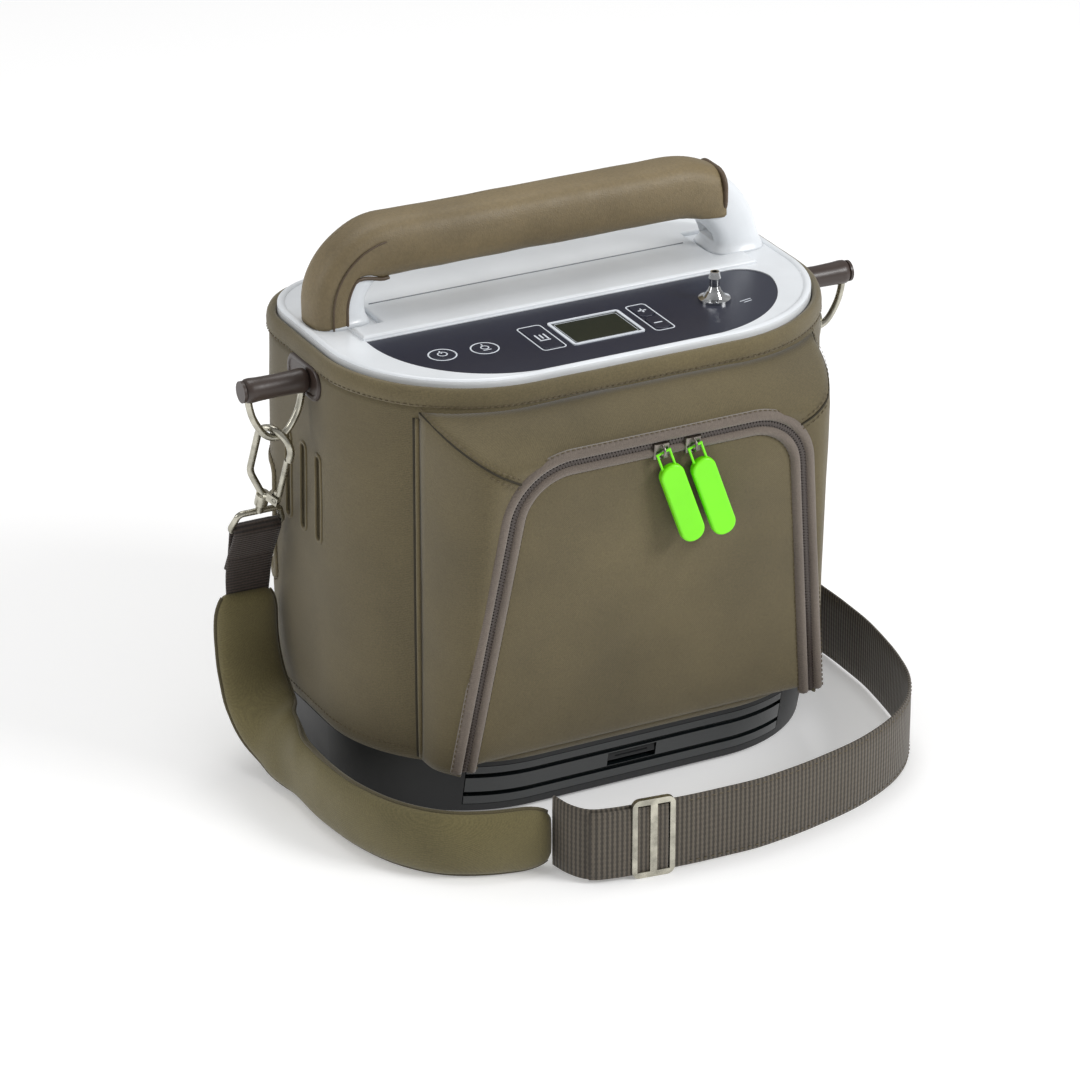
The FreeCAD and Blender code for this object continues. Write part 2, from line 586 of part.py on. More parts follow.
def make_handle():
    half, back, line = size("handle_half"), size("handle_back"), size("handle_line")
    foot = size("deck_high")
    points = [(-half, back, foot), (-half, back, line), (half, back, line), (half, back, foot)]
    core = handle_pipe(14, 18, 5, points, [27, 34])
    sleeve = handle_pipe(size("grip_thick"), size("grip_deep"), 10, points, [27, 34])
    post_span = Part.makeBox(60, 80, 60, Vector(half - 11, back - 40, foot))
    web_span = Part.makeBox(18, 80, 25, Vector(-half, back - 40, foot))
    recess = Part.makeCylinder(8, 10, Vector(half - 22, back, foot + 12), Vector(1, 0, 0), 180)
    recess.rotate(Vector(half - 22, back, foot + 12), Vector(1, 0, 0), 90)
    post = handle_pipe(26, 26, 8, points, [27, 34]).common(post_span)
    web = handle_pipe(28, 25, 8, points, [27, 34]).common(web_span)
    feet = [Part.makeCylinder(2, 14, Vector(x, back, foot - 0.5)) for x in (-half, half)]
    frame = core.fuse([post, web]).cut(Part.makeCompound(feet)).removeSplitter()
    node("handle_frame", feature("handle_frame_solid", frame))
    grip = sleeve.cut(Part.makeCompound([core, post_span, web_span])).removeSplitter()
    node("handle_grip", feature("handle_grip_solid", grip))


# ---------------------------------------------------------------- fabric case and pocket
def make_case():
    wall = ring("case_wall", 0, "fabric", "case_low", "case_high")
    window = box("window_cut", (-128, 82), 86, (64, 70, 68))
    posts = rod("post_holes", ("-case_width", "ring_back", "ring_high"), 4.3, "2 * case_width", "X")
    inside = box("post_keep", (0, 0), 190, ("case_width - 12", 100, 40))
    node("carry_case", cut("case_solid", wall, vent_cutter("case_vents", 4.4, 14), window,
                           cut("post_drill", posts, inside)))
    band = ring("binding_ring", -0.6, 4.1, "case_high", "rim_high")
    band = rounded("binding_soft", band, 1.8, at_height(size("rim_high")))
    frame = ring("window_ring", -0.6, "fabric", 86, 154)
    big = common("window_frame_out", frame, box("window_span", (-128, 82), 86, (64, 70, 68)))
    hem = cut("window_frame", big, box("window_hole", (-128, 82), 91, (54, 60, 58)))
    node("case_binding", group("binding_group", band, hem))


def pocket_place():
    """Local frame of the flap: x across, y up its face, z outwards."""
    turn = Rotation(Vector(1, 0, 0), 90 + size("pocket_lean"))
    return Placement(Vector(0, -size("pocket_foot"), size("pocket_low")), turn)


def pocket_block(name, shrink):
    """The raised pocket: a truncated pyramid on the front of the case."""
    wedge = doc.addObject("Part::Wedge", name + "_wedge")
    for prop, text in (("Xmin", f"-91 + {shrink}"), ("Xmax", f"91 - {shrink}"), ("X2min", f"-107 + {shrink}"),
                       ("X2max", f"107 - {shrink}"), ("Ymin", -112), ("Ymax", -60),
                       ("Zmin", f"case_low + 0.3 + {shrink}"), ("Z2min", f"case_low + 0.3 + {shrink}"),
                       ("Zmax", f"198.7 - 1.2 * {shrink}"), ("Z2max", f"233.8 - 1.2 * {shrink}")):
        bind(wedge, prop, text)
    lid = box(name + "_lid", (0, -90), f"case_high - 0.6 - {shrink}", (260, 100, 80))
    front = doc.addObject("Part::Box", name + "_front")
    for prop, text in (("Length", 260), ("Width", 60), ("Height", 260)):
        bind(front, prop, text)
    front.Placement = Placement(Vector(), Rotation(Vector(1, 0, 0), size("pocket_lean")))
    bind(front, "Placement.Base.x", -130)
    bind(front, "Placement.Base.y", f"-pocket_foot + {shrink} - 60 * cos(pocket_lean * 1deg) + 20 * sin(pocket_lean * 1deg)")
    bind(front, "Placement.Base.z", "pocket_low - 60 * sin(pocket_lean * 1deg) - 20 * cos(pocket_lean * 1deg)")
    return cut(name, wedge, lid, front)


def flap_body(name, grow, low, high):
    """A slab with the flap's outline, in the flap's own frame."""
    body = doc.addObject("PartDesign::Body", name)
    sketch = body.newObject("Sketcher::SketchObject", name + "_outline")
    sketch.AttachmentSupport = [(plane_of(body), "")]
    sketch.MapMode = "FlatFace"
    bind(sketch, "AttachmentOffset.Base.z", low)
    half, tall, arc = size("flap_half"), size("flap_tall"), size("flap_corner")
    slope = math.radians(size("flap_slope"))
    lean = Vector(-math.sin(slope), math.cos(slope), 0)
    across = Vector(math.cos(slope), math.sin(slope), 0)
    middle_y = tall - arc
    middle_x = half - (middle_y + arc * math.sin(slope)) * math.tan(slope) - arc * math.cos(slope)
    middle = Vector(middle_x, middle_y, 0)
    corner_start = middle + across * arc
    angle = math.atan2(across.y, across.x)
    flipped = Vector(-middle.x, middle.y, 0)
    sketch.addGeometry([
        Part.LineSegment(Vector(-half, 0, 0), Vector(half, 0, 0)),
        Part.LineSegment(Vector(half, 0, 0), corner_start),
        Part.ArcOfCircle(Part.Circle(middle, Vector(0, 0, 1), arc), angle, math.pi / 2),
        Part.LineSegment(middle + Vector(0, arc, 0), flipped + Vector(0, arc, 0)),
        Part.ArcOfCircle(Part.Circle(flipped, Vector(0, 0, 1), arc), math.pi / 2, math.pi - angle),
        Part.LineSegment(Vector(-corner_start.x, corner_start.y, 0), Vector(-half, 0, 0)),
    ], False)
    sketch.addConstraint([
        Sketcher.Constraint("Coincident", 0, 2, 1, 1), Sketcher.Constraint("Tangent", 1, 2, 2, 1),
        Sketcher.Constraint("Tangent", 2, 2, 3, 1), Sketcher.Constraint("Tangent", 3, 2, 4, 1),
        Sketcher.Constraint("Tangent", 4, 2, 5, 1), Sketcher.Constraint("Coincident", 5, 2, 0, 1),
        Sketcher.Constraint("Equal", 2, 4),
        Sketcher.Constraint("Symmetric", 0, 1, 0, 2, -2), Sketcher.Constraint("Symmetric", 3, 2, 3, 1, -2)])
    for label, rule, text in (
        ("half", Sketcher.Constraint("DistanceX", -1, 1, 0, 2, half), f"flap_half + {grow}"),
        ("foot", Sketcher.Constraint("DistanceY", 0, 1, -1, 1, 0.01), f"0.01 + {grow}"),
        ("tall", Sketcher.Constraint("DistanceY", -1, 1, 3, 1, tall), f"flap_tall + {grow}"),
        ("arc", Sketcher.Constraint("Radius", 2, arc), f"flap_corner + {grow}"),
        ("slope", Sketcher.Constraint("Angle", 1, math.pi / 2 + slope), "(90 + flap_slope) * 1deg"),
    ):
        index = sketch.addConstraint(rule)
        sketch.renameConstraint(index, label)
        bind(sketch, f"Constraints.{label}", text)
    pad = body.newObject("PartDesign::Pad", name + "_pad")
    pad.Profile = sketch
    bind(pad, "Length", f"({high}) - ({low})")
    body.Placement = pocket_place()
    return body


def make_pocket():
    outer = cut("pocket_outer", pocket_block("pocket_mass", 0), prism("pocket_back", 0, 20, 240))
    room = pocket_block("pocket_room", 3)
    mouth = flap_body("pocket_mouth", 1, -20, 6)
    node("pocket_gusset", cut("gusset_solid", outer, room, mouth))
    node("pocket_flap", flap_body("flap_slab", 0, "-flap_thick", 0))


SLIDER_PLACES = (("left", -2), ("right", 15))
PULL_TILT = 20
PIN_HIGH = 4.95


def pull_place(x):
    """A pull's own frame: origin on its pin, which the pull hangs plumb from."""
    lean, tilt = math.radians(size("pocket_lean")), math.radians(PULL_TILT)
    hang = math.degrees(math.atan(math.tan(lean) / math.cos(tilt)))
    pin = Placement(Vector(x, size("flap_tall") - 2, PIN_HIGH), Rotation(Vector(0, 0, 1), PULL_TILT))
    return pocket_place().multiply(pin).multiply(Placement(Vector(), Rotation(Vector(1, 0, 0), -hang)))


def slider():
    """Zip slider on the flap's face, with the hoop that holds its pull."""
    shell = Part.makeBox(8.4, 8, 3.4, Vector(-4.2, -4, 0.4))
    shell = shell.makeFillet(1.2, [e for e in shell.Edges if edge_runs(e, Vector(0, 1, 0))])
    hoop = Part.makeTorus(3.3, 0.65, Vector(0, 0, 3.3), Vector(1, 0, 0))
    return shell.fuse(hoop.common(Part.makeBox(8, 8, 8, Vector(-4, -4, 3.2))))


def pull():
    """Rounded tab that hangs from a wire loop through the slider's hoop."""
    pin = Part.makeCylinder(0.6, 8, Vector(-4, 0, 0), Vector(1, 0, 0))
    arms = [Part.makeCylinder(0.6, 9, Vector(x, 0, 0), Vector(0, -1, 0)) for x in (-3.4, 3.4)]
    tab = Part.makeBox(12.6, 44, 4.4, Vector(-6.3, -51.5, -2.2))
    tab = tab.makeFillet(6, [e for e in tab.Edges if upright(e)])
    tab = tab.makeFillet(1.2, [e for e in tab.Edges if e.BoundBox.ZLength < 0.01])
    return pin.fuse([*arms, tab])


def make_sliders():
    for side, x in SLIDER_PLACES:
        spot = pocket_place().multiply(Placement(Vector(x, size("flap_tall") - 2, 0), Rotation()))
        node(f"slider_{side}", feature(f"slider_{side}_solid", slider(), spot))
        node(f"pull_{side}", feature(f"pull_{side}_solid", pull(), pull_place(x)))


# ---------------------------------------------------------------- strap rings and hooks
def mirrored(shape):
    return shape.mirror(Vector(), Vector(1, 0, 0))


def ring_frame():
    return Vector(-size("ring_across"), size("ring_back"), size("ring_high"))


def left_anchor():
    """Post that carries the strap ring, with its oval grommet on the case."""
    out, centre = size("case_width") / 2, ring_frame()
    plate = Part.makeBox(1.3, 30, 11.6, Vector(-out - 1.3, centre.y - 11, centre.z - 6))
    plate = plate.makeFillet(5.6, [e for e in plate.Edges if edge_runs(e, Vector(1, 0, 0))])
    post = Part.makeCylinder(4, 40.4, Vector(-out - 36, centre.y, centre.z), Vector(1, 0, 0))
    sleeve = Part.makeCylinder(5, 24.4, Vector(centre.x - 12.2, centre.y, centre.z), Vector(1, 0, 0))
    knob = Part.makeCylinder(5.4, 1.4, Vector(-out - 36, centre.y, centre.z), Vector(1, 0, 0))
    return plate.fuse([post, sleeve, knob])


def left_ring():
    """Wire bail with two eyes that turn on the post."""
    centre, wire = ring_frame(), size("ring_wire")
    half, drop = size("ring_half"), size("ring_drop")
    eyes, arms = [], []
    for sign in (-1, 1):
        x = centre.x + sign * half
        eye = Part.makeCylinder(6.3, 2 * wire, Vector(x - wire, centre.y, centre.z), Vector(1, 0, 0))
        eyes.append(eye.cut(Part.makeCylinder(4.25, 10, Vector(x - 5, centre.y, centre.z), Vector(1, 0, 0))))
        arms.append(Part.makeCylinder(wire, drop - half - 5, Vector(x, centre.y, centre.z - 5), Vector(0, 0, -1)))
    bow = Part.makeTorus(half, wire, Vector(centre.x, centre.y, centre.z - drop + half), Vector(0, 1, 0))
    bow = bow.common(Part.makeBox(60, 20, 40, Vector(centre.x - 30, centre.y - 10, centre.z - drop + half - 40)))
    return eyes[0].fuse([eyes[1], *arms, bow])


def hook_place():
    """Local frame of a left hook: origin at its swivel, z towards the ring."""
    lean, reach = size("hook_lean"), size("hook_tall") - size("hook_wire") - size("ring_wire") - 0.3
    away = Vector(0, math.sin(math.radians(lean)), -math.cos(math.radians(lean)))
    centre = ring_frame() - Vector(0, 0, size("ring_drop")) + away * reach
    return Placement(centre, Rotation(Vector(1, 0, 0), lean))


HOOK_HALF = 10


def left_hook():
    """Snap hook body: a round wire open on one side, on a swivel boss."""
    wire, tall = size("hook_wire"), size("hook_tall")
    points = [(5.2, 0, 9), (0.5, 0, 6), (-HOOK_HALF, 0, 16), (-HOOK_HALF, 0, tall), (HOOK_HALF, 0, tall),
              (HOOK_HALF, 0, tall - 13)]
    bow = round_tube(points, [2.2, 8, 9.6, 9.6], wire)
    boss = Part.makeCylinder(3.4, 7, Vector(0, 0, 0.6))
    lug = Part.makeBox(6.4, 3.6, 5, Vector(3, -1.8, 6.5))
    body = bow.fuse([boss, lug]).cut(Part.makeCylinder(1.3, 8, Vector(HOOK_HALF - 2.4, -4, 9.4), Vector(0, 1, 0)))
    gap = Part.makeBox(9, 2.1, 12, Vector(5.2, -1.05, 7))
    return body.cut(gap)


def left_gate():
    """Sprung gate that closes the hook, turning on its pin."""
    tall = size("hook_tall")
    pin = Part.makeCylinder(1, 3.6, Vector(HOOK_HALF - 2.4, -1.8, 9.4), Vector(0, 1, 0))
    tongue = Part.makeBox(3, 1.5, 6.4, Vector(HOOK_HALF - 3.9, -0.75, 8))
    bar = Part.makeCylinder(1.5, tall - 13.4 - 13.5, Vector(HOOK_HALF - 1.2, 0, 13.5))
    return pin.fuse([tongue, bar])


def left_eye():
    """Swivel stem and the flat eye that the strap end loops through."""
    half = size("tab_wide") / 2 + 2.2
    stem = Part.makeCylinder(2.2, 5.3, Vector(0, 0, -5))
    points = [(0, 0, -5), (-half + 4, 0, -5), (-half, 0, -17), (0, 0, -17)]
    side = round_tube(points, [3, 3], 1.6)
    other = side.mirror(Vector(), Vector(1, 0, 0))
    return stem.fuse([side, other])


def tri_glide():
    """Strap adjuster lying against the outer face of the webbing, close to the pad."""
    frame = Part.makeBox(22, 2.6, 42, Vector(-11, -3.9, -21))
    frame = frame.makeFillet(4, [e for e in frame.Edges if edge_runs(e, Vector(0, 1, 0))])
    holes = [Part.makeBox(6.5, 4, 36, Vector(x, -5, -18)) for x in (-8.3, 1.8)]
    return frame.cut(Part.makeCompound(holes))


def make_strap_fittings():
    place_hook = hook_place()
    turned = place_hook.multiply(Placement(Vector(), Rotation(Vector(0, 0, 1), size("hook_turn"))))
    anchor = left_anchor()
    node("strap_posts", feature("posts_group", Part.makeCompound([anchor, mirrored(anchor)])))
    bail = left_ring()
    node("strap_rings", feature("rings_group", Part.makeCompound([bail, mirrored(bail)])))
    for name, shape in (("hook", left_hook()), ("gate", left_gate())):
        shape.Placement = turned.multiply(shape.Placement)
        node(f"{name}_left", feature(f"{name}_left_solid", shape))
        node(f"{name}_right", feature(f"{name}_right_solid", mirrored(shape)))
    eye = left_eye()
    eye.Placement = place_hook.multiply(eye.Placement)
    glide = tri_glide()
    glide.rotate(Vector(), Vector(0, 0, 1), GLIDE_TURN)
    glide.translate(Vector(*GLIDE_PLACE))
    node("strap_metal", feature("metal_group", Part.makeCompound([eye, mirrored(eye), glide])))


# ---------------------------------------------------------------- webbing and pad
# Stations along the strap: middle point, and how far its width has turned from upright (0)
# to level along X (1).
TAB_LINE = [(-150, 34.6, 125, 1), (-150, 38.4, 112, 1), (-150, 42, 99, 1), (-150, 43.4, 88.4, 1)]
PAD_LINE = [(-151, 43.8, 88, 1), (-151.5, 43.8, 64, 1), (-152, 37, 45, 0.9), (-152, 24, 31, 0.6),
            (-152, 4, 22, 0.25), (-151, -22, 18, 0), (-150.5, -48, 17.5, 0), (-147, -74, 17.5, 0),
            (-138, -99, 17.5, 0), (-123, -118, 17.5, 0), (-102, -129, 17.5, 0), (-74, -135, 17.5, 0)]
WEB_LINE = [(-72.5, -135.4, 20, 0), (-70, -147, 20, 0), (-64, -156, 20, 0), (-52, -159.8, 20, 0),
            (-34, -162, 20, 0), (-16, -164.2, 20, 0), (4, -165.4, 20, 0), (28, -165, 20, 0), (57, -160, 20, 0), (92, -150, 20, 0),
            (120, -134, 20, 0), (141, -110, 20, 0), (151, -82, 20, 0), (156, -50, 20, 0),
            (158, -18, 20, 0), (157, 12, 20, 0), (154.5, 36, 25, 0.2), (152, 50, 42, 0.55),
            (150, 53, 64, 0.9), (150, 48, 88, 1), (150, 41.5, 104, 1), (150, 34.6, 125, 1)]
GLIDE_PLACE, GLIDE_TURN = (-34, -162, 21.2), -7


def smooth_edge(points):
    curve = Part.BSplineCurve()
    curve.interpolate(points)
    return curve.toShape()


def ribbon(line, wide, thick, ends=0.0):
    """A flat band through the stations; wide is a function of the share of the way along."""
    middles = [Vector(*s[:3]) for s in line]
    rails = [[], [], [], []]
    for i, (point, station) in enumerate(zip(middles, line)):
        along = (middles[min(i + 1, len(line) - 1)] - middles[max(i - 1, 0)]).normalize()
        level = station[3] * math.pi / 2
        lean = Vector(math.sin(level), 0, math.cos(level))
        width = (lean - along * lean.dot(along)).normalize()
        face = along.cross(width).normalize()
        share = i / (len(line) - 1)
        w, t = wide(share) / 2, thick / 2
        if ends and i in (0, len(line) - 1):
            w, t = w - ends, t * 0.6
        for rail, (a, b) in zip(rails, ((1, 1), (1, -1), (-1, -1), (-1, 1))):
            rail.append(point + width * a * w + face * b * t)
    caps = [Part.Face(Part.makePolygon([rail[end] for rail in rails + rails[:1]])) for end in (0, -1)]
    edges = [smooth_edge(rail) for rail in rails]
    sides = [Part.makeRuledSurface(edges[k - 1], edges[k], 1) for k in range(4)]
    shell = Part.Shell(Part.makeCompound(sides + caps).Faces)
    shell.sewShape()
    solid = Part.Solid(shell)
    if solid.Volume < 0:
        solid.reverse()
    return solid


def make_strap():
    web, tab, pad = size("web_wide"), size("tab_wide"), size("pad_wide")
    thick = size("web_thick")
    main = ribbon(WEB_LINE, lambda s: web if s < 0.78 else web + (tab - web) * (s - 0.78) / 0.22, thick)
    left = ribbon(TAB_LINE, lambda s: tab, thick)
    node("strap_webbing", feature("webbing_group", Part.makeCompound([left, main])))
    node("shoulder_pad", feature("pad_solid", ribbon(PAD_LINE, lambda s: pad, size("pad_thick"), 5)))


# ---------------------------------------------------------------- build, check and write
for make in (make_base, make_battery, make_housing, make_compressor, make_oxygen_circuit, make_fan, make_hoses,
             make_top, make_boards, make_outlet, make_handle, make_case, make_pocket, make_sliders,
             make_strap_fittings, make_strap):
    make()
doc.recompute()

for item in doc.Objects:
    if {"Invalid", "Error"} & set(item.State):
        raise SystemExit(f"{item.Label} did not rebuild: {item.State}")
os.makedirs("parts", exist_ok=True)
for item in NODES:
    if item.Shape.isNull() or not item.Shape.isValid():
        raise SystemExit(f"{item.Label} has no valid shape")
    print(f"{item.Label}: {len(item.Shape.Solids)} solids, {item.Shape.Volume / 1000:.2f} cm3")
for item in NODES:
    item.Shape.exportStep(f"parts/{item.Label}.step")
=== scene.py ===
"""Portable oxygen concentrator in its carry case: the looks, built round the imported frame.

Sizes in the tables are millimetres in the frame's axes; MM turns them into metres.
"""
import math

import bmesh
import bpy
from mathutils import Matrix, Vector, noise


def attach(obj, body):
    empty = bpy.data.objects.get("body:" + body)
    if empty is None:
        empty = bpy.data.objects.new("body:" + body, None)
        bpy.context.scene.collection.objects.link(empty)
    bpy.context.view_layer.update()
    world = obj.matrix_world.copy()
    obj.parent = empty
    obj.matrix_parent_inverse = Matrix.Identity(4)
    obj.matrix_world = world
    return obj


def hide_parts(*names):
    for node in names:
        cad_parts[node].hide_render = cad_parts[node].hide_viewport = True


MM = 0.001
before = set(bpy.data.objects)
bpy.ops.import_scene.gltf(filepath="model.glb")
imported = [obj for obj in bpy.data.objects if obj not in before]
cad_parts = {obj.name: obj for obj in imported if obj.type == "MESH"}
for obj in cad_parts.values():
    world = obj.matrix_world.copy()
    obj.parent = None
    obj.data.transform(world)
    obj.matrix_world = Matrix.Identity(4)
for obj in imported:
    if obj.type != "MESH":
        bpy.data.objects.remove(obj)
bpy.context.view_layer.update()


# ---- materials
class Shade:
    """One node material on the Principled shader."""

    def __init__(self, name, color, rough=0.5, metal=0.0, **sockets):
        self.material = bpy.data.materials.new(name)
        self.material.use_nodes = True
        self.tree = self.material.node_tree
        self.shader = self.tree.nodes["Principled BSDF"]
        self.rough = rough
        self.shader.inputs["Base Color"].default_value = (*color, 1)
        self.shader.inputs["Roughness"].default_value = rough
        self.shader.inputs["Metallic"].default_value = metal
        for label, value in sockets.items():
            self.shader.inputs[label.replace("_", " ").title()].default_value = value
        self.coords = self.tree.nodes.new("ShaderNodeTexCoord").outputs["Object"]

    def add(self, kind, **settings):
        made = self.tree.nodes.new("ShaderNode" + kind)
        for label, value in settings.items():
            setattr(made, label, value)
        return made

    def math(self, operation, a, b=0.0):
        made = self.add("Math", operation=operation)
        for socket, value in zip(made.inputs, (a, b)):
            if isinstance(value, (int, float)):
                socket.default_value = value
            else:
                self.tree.links.new(value, socket)
        return made.outputs[0]

    def noise(self, scale, detail=2.0, coords=None):
        made = self.add("TexNoise")
        made.inputs["Scale"].default_value = scale
        made.inputs["Detail"].default_value = detail
        self.tree.links.new(coords or self.coords, made.inputs["Vector"])
        return made.outputs["Fac"]

    def mix(self, factor, low, high):
        """A colour between two others, where factor goes from 0.3 to 0.7 as noise does."""
        ramp = self.add("ValToRGB")
        ramp.color_ramp.elements[0].position, ramp.color_ramp.elements[1].position = 0.3, 0.7
        ramp.color_ramp.elements[0].color, ramp.color_ramp.elements[1].color = (*low, 1), (*high, 1)
        self.tree.links.new(factor, ramp.inputs[0])
        return ramp.outputs[0]

    def multiply(self, a, b):
        made = self.add("Mix", data_type="RGBA", blend_type="MULTIPLY")
        made.inputs[0].default_value = 1.0
        self.tree.links.new(a, made.inputs[6])
        self.tree.links.new(b, made.inputs[7])
        return made.outputs[2]

    def paint(self, color):
        self.tree.links.new(color, self.shader.inputs["Base Color"])

    def rough_from(self, factor, spread):
        swing = self.math("MULTIPLY", self.math("SUBTRACT", factor, 0.5), spread)
        value = self.math("ADD", swing, self.rough)
        self.tree.links.new(value, self.shader.inputs["Roughness"])

    def bump(self, height, distance, strength=0.6):
        made = self.add("Bump")
        made.inputs["Strength"].default_value = strength
        made.inputs["Distance"].default_value = distance * MM
        self.tree.links.new(height, made.inputs["Height"])
        self.tree.links.new(made.outputs[0], self.shader.inputs["Normal"])


def shaded(color, factor):
    return tuple(min(1.0, c * factor) for c in color)


def fabric(name, color, pitch=0.9, depth=0.12, worn=1.25, rough=0.82):
    """Plain weave: two sets of threads, cloudy colour, and a fibrous fine grain."""
    s = Shade(name, color, rough, sheen_weight=0.25, sheen_roughness=0.5)
    split = s.add("SeparateXYZ")
    s.tree.links.new(s.coords, split.inputs[0])
    turn = 2 * math.pi / (pitch * MM)
    across = s.math("SINE", s.math("MULTIPLY", s.math("ADD", split.outputs[0], split.outputs[1]), turn))
    along = s.math("SINE", s.math("MULTIPLY", split.outputs[2], turn))
    weave = s.math("ADD", s.math("MULTIPLY", s.math("MULTIPLY", across, along), 0.5), 0.5)
    cloud = s.mix(s.noise(14, 3), shaded(color, 0.86), shaded(color, worn))
    fibre = s.mix(s.noise(1300, 4), (0.72, 0.72, 0.72), (1.0, 1.0, 1.0))
    threads = s.mix(weave, (0.84, 0.84, 0.84), (1.0, 1.0, 1.0))
    s.paint(s.multiply(s.multiply(cloud, fibre), threads))
    s.bump(s.math("ADD", weave, s.math("MULTIPLY", s.noise(700, 3), 0.8)), depth)
    return s.material


def webbing(name, color, pitch=2.4):
    """Ribbed strap weave that follows the strip's own length, which its map carries."""
    s = Shade(name, color, 0.7, sheen_weight=0.2, sheen_roughness=0.4)
    where = s.add("UVMap", uv_map="strip")
    split = s.add("SeparateXYZ")
    s.tree.links.new(where.outputs[0], split.inputs[0])
    ribs = s.math("SINE", s.math("MULTIPLY", split.outputs[1], 2 * math.pi * 100 / pitch))
    lines = s.math("SINE", s.math("MULTIPLY", split.outputs[0], 2 * math.pi * 16))
    weave = s.math("ADD", s.math("MULTIPLY", ribs, 0.42), s.math("MULTIPLY", lines, 0.12))
    weave = s.math("ADD", weave, 0.5)
    base = s.mix(weave, shaded(color, 0.5), shaded(color, 1.35))
    fibre = s.mix(s.noise(1100, 4), (0.75, 0.75, 0.75), (1.0, 1.0, 1.0))
    s.paint(s.multiply(base, fibre))
    s.bump(weave, 0.35, 0.8)
    return s.material


def leather(name, color):
    s = Shade(name, color, 0.52, coat_weight=0.08, coat_roughness=0.4)
    cells = s.add("TexVoronoi", feature="DISTANCE_TO_EDGE")
    cells.inputs["Scale"].default_value = 900
    s.tree.links.new(s.coords, cells.inputs["Vector"])
    cloud = s.mix(s.noise(20, 3), shaded(color, 0.82), shaded(color, 1.2))
    grain = s.mix(s.noise(600, 3), (0.85, 0.85, 0.85), (1.0, 1.0, 1.0))
    s.paint(s.multiply(cloud, grain))
    s.rough_from(s.noise(60, 2), 0.25)
    s.bump(s.math("ADD", s.math("MULTIPLY", cells.outputs[0], 2.0), s.noise(350, 2)), 0.16)
    return s.material


def plastic(name, color, rough=0.4, coat=0.0, grain=0.03, spread=0.12, scale=900):
    s = Shade(name, color, rough, coat_weight=coat, coat_roughness=0.08)
    s.paint(s.mix(s.noise(25, 3), shaded(color, 0.93), shaded(color, 1.05)))
    s.rough_from(s.noise(40, 4), spread)
    s.bump(s.noise(scale, 2), grain)
    return s.material


def metal(name, color, rough=0.28, spread=0.3):
    """Plated metal: darker in its cloudy patches, with fine rubbed scratches."""
    s = Shade(name, color, rough, 1.0)
    s.paint(s.mix(s.noise(160, 5), shaded(color, 0.6), shaded(color, 1.15)))
    s.rough_from(s.noise(420, 4), spread)
    s.bump(s.noise(1500, 3), 0.03)
    return s.material


OLIVE = (0.128, 0.101, 0.046)
M_CASE = fabric("olive_weave", OLIVE)
# The pocket's olive is the case's olive made 8 % lighter: painted light on the front-facing pocket.
M_POCKET_PAINTED_LIGHT = fabric("olive_weave_front_painted_light", shaded(OLIVE, 1.08))
M_RIM = fabric("olive_binding", shaded(OLIVE, 1.2), pitch=0.7)
# Dark strips beside the pocket's side seams and down its mitre folds: painted shade in the creases.
M_CREASE_SHADE = plastic("seam_shadow", shaded(OLIVE, 0.22), 0.8)
M_THREAD = plastic("stitch_thread", (0.115, 0.088, 0.045), 0.6, grain=0.05)
M_TAPE = fabric("zip_tape", (0.195, 0.158, 0.128), pitch=1.0, depth=0.1, worn=1.15)
M_TEETH = plastic("zip_teeth", (0.055, 0.042, 0.036), 0.35)
M_GRIP = leather("grip_wrap", (0.205, 0.155, 0.078))
M_PIPING = leather("grip_piping", (0.10, 0.066, 0.036))
M_PAD = fabric("pad_cloth", (0.150, 0.124, 0.046), pitch=1.1, depth=0.1)
M_PAD_EDGE = fabric("pad_edge", (0.085, 0.068, 0.028), pitch=0.7)
M_WEB = webbing("strap_weave", (0.098, 0.082, 0.062))
M_TAB = webbing("tab_weave", (0.040, 0.027, 0.021), pitch=1.7)
M_WHITE = plastic("white_shell", (0.80, 0.83, 0.86), 0.32, coat=0.15, grain=0.02, spread=0.08)
# Grey of the thin dark lines on the white deck: painted shade.
M_DECK_SHADE = plastic("deck_shadow", (0.20, 0.22, 0.24), 0.6)
M_NAVY = plastic("navy_film", (0.009, 0.012, 0.030), 0.30, grain=0.01, spread=0.06)
M_MARK = plastic("printed_white", (0.72, 0.76, 0.82), 0.45)
M_BLACK = plastic("black_shell", (0.005, 0.006, 0.007), 0.46, grain=0.05)
M_GLOSS = plastic("black_gloss", (0.006, 0.009, 0.010), 0.2, coat=0.6, grain=0.01, spread=0.08)
M_BROWN = plastic("brown_post", (0.045, 0.030, 0.024), 0.38, coat=0.1)
M_NICKEL = metal("antique_nickel", (0.52, 0.50, 0.42))
M_CHROME = metal("bright_nozzle", (0.72, 0.73, 0.74), 0.12, 0.1)
M_ZINC = metal("zip_slider", (0.30, 0.27, 0.24), 0.35)
M_LIME = plastic("lime_rubber", (0.21, 0.92, 0.0), 0.42, coat=0.1, grain=0.05)
M_LCD = plastic("lcd_face", (0.004, 0.009, 0.001), 0.30, grain=0.004, spread=0.02)
M_RUBBER = plastic("foot_rubber", (0.02, 0.02, 0.02), 0.8)
M_SILVER = metal("cast_silver", (0.55, 0.56, 0.58), 0.45, 0.2)
M_BRASS = metal("contact_brass", (0.70, 0.50, 0.22), 0.3, 0.2)
M_BOARD = plastic("circuit_green", (0.01, 0.09, 0.04), 0.45)
M_FOAM = fabric("filter_foam", (0.05, 0.05, 0.055), pitch=1.6, depth=0.4)


# ---- mesh helpers
def new_piece(name, verts, faces, material, body, replaces=(), smooth=True):
    """A mesh object from points in millimetres, riding on a body."""
    mesh = bpy.data.meshes.new(name)
    mesh.from_pydata([tuple(c * MM for c in v) for v in verts], [], faces)
    mesh.update()
    obj = bpy.data.objects.new(name, mesh)
    bpy.context.scene.collection.objects.link(obj)
    mesh.materials.append(material)
    mesh.polygons.foreach_set("use_smooth", [smooth] * len(mesh.polygons))
    if body:
        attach(obj, body)
    if replaces:
        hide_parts(*replaces)
    return obj


